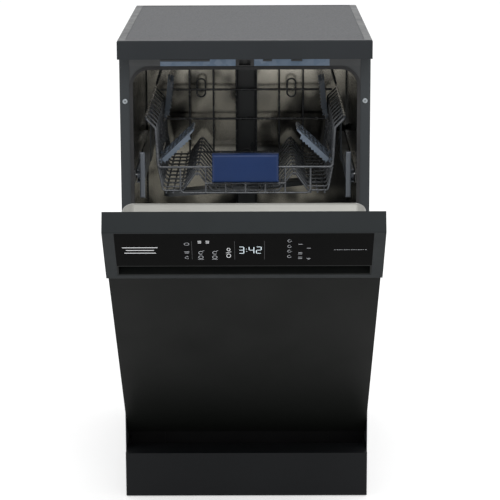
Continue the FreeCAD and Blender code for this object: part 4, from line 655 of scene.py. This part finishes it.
def display_digits(face):
    """Lit seven-segment figures."""
    glow = Mat("display_glow", 0.4)
    glow.colour(glow.ramp(glow.noise(900.0, 1), ((0.3, (0.35, 0.42, 0.47)), (0.7, (0.5, 0.57, 0.62)))))
    glow.set("Emission Color", (0.75, 0.86, 0.88, 1))
    glow.set("Emission Strength", 0.45)
    bm = bmesh.new()
    w, h = FIGURE_W, FIGURE_H
    strokes = {"a": (0, h, w, h), "b": (w, h, w, h / 2), "c": (w, h / 2, w, 0), "d": (0, 0, w, 0),
               "e": (0, h / 2, 0, 0), "f": (0, h, 0, h / 2), "g": (0, h / 2, w, h / 2)}
    for u, digit in FIGURES:
        for which in SEGMENTS[digit]:
            a, b = Vector(strokes[which][:2]), Vector(strokes[which][2:])
            short = (b - a).normalized() * STROKE_GAP
            a, b = a + short, b - short
            bar(bm, face, u + a.x, FIGURE_FOOT + a.y, u + b.x, FIGURE_FOOT + b.y, FIGURE_STROKE, FIGURE_LIFT)
    for v in COLON_V:
        bar(bm, face, COLON_U[0], FIGURE_FOOT + v, COLON_U[1], FIGURE_FOOT + v, FIGURE_STROKE, FIGURE_LIFT)
    piece("display_figures", bm, glow, "door")


def add_block(bm, low, high, bevel=0.0):
    """A box between two corners, its edges rounded off when a bevel is given."""
    made = bmesh.ops.create_cube(bm, size=1.0)["verts"]
    middle = [(a + b) / 2 for a, b in zip(low, high)]
    for v in made:
        v.co = Vector([m + c * (b - a) for m, c, a, b in zip(middle, v.co, low, high)])
    if bevel:
        edges = list({e for v in made for e in v.link_edges})
        bmesh.ops.bevel(bm, geom=edges, offset=bevel, segments=2, affect="EDGES", profile=0.5)


# A screw head's rings, as shares of its radius and height, and how high the middle of its dimple is.
SCREW_RINGS = ((1.0, 0.0), (0.97, 0.45), (0.78, 0.85), (0.45, 1.0))
SCREW_DIMPLE = 0.45
SCREW_STEPS = 20


def add_screw(bm, place, axis, radius, height):
    """A screw head standing on a face: a low dome with a round dimple in its crown."""
    turn = Vector(axis).to_track_quat("Z", "Y").to_matrix().to_4x4()
    put = Matrix.Translation(Vector(place)) @ turn
    steps = SCREW_STEPS
    rings = [[bm.verts.new(put @ Vector((radius * r * math.cos(2 * math.pi * k / steps),
                                         radius * r * math.sin(2 * math.pi * k / steps), height * h)))
              for k in range(steps)] for r, h in SCREW_RINGS]
    for low, high in zip(rings, rings[1:]):
        for k in range(steps):
            j = (k + 1) % steps
            bm.faces.new((low[k], low[j], high[j], high[k]))
    centre = bm.verts.new(put @ Vector((0, 0, height * SCREW_DIMPLE)))
    crown = rings[-1]
    for k in range(steps):
        j = (k + 1) % steps
        bm.faces.new((crown[k], crown[j], centre))
    bm.faces.new(list(reversed(rings[0])))


# Metres: the rear panel's ribs and screws.
RIB_COUNT = 3
RIB_WIDTH = 0.013
RIB_MARGIN = 0.055
RIB_SUNK = 0.0002
RIB_PROUD = 0.0018
RIB_BEVEL = 0.0017
SCREW_INSET = 0.012
SCREW_RADIUS = 0.0038
SCREW_HEIGHT = 0.0022
SCREW_LEVELS = (0.33, 0.66)   # shares of the panel's height


def rear_details():
    """Stamped ribs on the rear panel, and the screws that hold it."""
    low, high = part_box("rear_panel")
    zinc = galvanised("rib_zinc")
    bm = bmesh.new()
    spacing = (high.x - low.x - 2 * RIB_MARGIN) / (RIB_COUNT - 1)
    for k in range(RIB_COUNT):
        x = low.x + RIB_MARGIN + k * spacing
        add_block(bm, (x - RIB_WIDTH / 2, high.y - RIB_SUNK, low.z + RIB_MARGIN),
                  (x + RIB_WIDTH / 2, high.y + RIB_PROUD, high.z - RIB_MARGIN), RIB_BEVEL)
    piece("rear_ribs", bm, zinc, "cabinet", True)
    bm = bmesh.new()
    left, right = low.x + SCREW_INSET, high.x - SCREW_INSET
    spots = [(x, z) for x in (left, (low.x + high.x) / 2, right)
             for z in (low.z + SCREW_INSET, high.z - SCREW_INSET)]
    spots += [(x, low.z + (high.z - low.z) * share) for share in SCREW_LEVELS for x in (left, right)]
    for x, z in spots:
        add_screw(bm, (x, high.y, z), (0, 1, 0), SCREW_RADIUS, SCREW_HEIGHT)
    piece("rear_screws", bm, steel("rear_screw_steel", (0.42, 0.42, 0.41), 0.32, (1, 1, 1)), "cabinet",
          True)


# The dark cross, painted shade standing in for each screw's cross recess: half its length and width as shares
# of the head's radius, and its faces in metres.
CROSS_LONG = 0.36
CROSS_THIN = 0.09
CROSS_PROUD = 0.00005
CROSS_DEEP = 0.0003


def flange_screw_recesses():
    """A dark cross of painted shade on each of the two screws beside the opening, where the cross recess
    would be.
    """
    low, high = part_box("flange_screws")
    # Painted shade: a near-black block stands in for the shade inside each screw's cross recess.
    dark = Mat("painted_recess_shade", 0.6)
    dark.colour(dark.ramp(dark.noise(900.0, 2), ((0.3, (0.012, 0.012, 0.012)), (0.7, (0.03, 0.03, 0.03)))))
    bm = bmesh.new()
    z = (low.z + high.z) / 2
    radius = (high.z - low.z) / 2
    for s in (-1, 1):
        x = s * (high.x - radius)
        for dx, dz in ((CROSS_LONG, CROSS_THIN), (CROSS_THIN, CROSS_LONG)):
            add_block(bm, (x - dx * radius, low.y - CROSS_PROUD, z - dz * radius),
                      (x + dx * radius, low.y + CROSS_DEEP, z + dz * radius))
    piece("screw_recess_shade", bm, dark, "cabinet")


def stretching_springs():
    """A copy of the balance springs in the CAD node's place, which is hidden; the real springs are drawn out
    by the door's arms as the door opens, but nothing here stretches the copy.
    """
    drawn = bpy.data.objects.new("drawn_springs", nodes["balance_springs"].data.copy())
    scene.collection.objects.link(drawn)
    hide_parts("balance_springs")
    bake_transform(drawn)


control_graphics()
stretching_springs()
rear_details()
flange_screw_recesses()
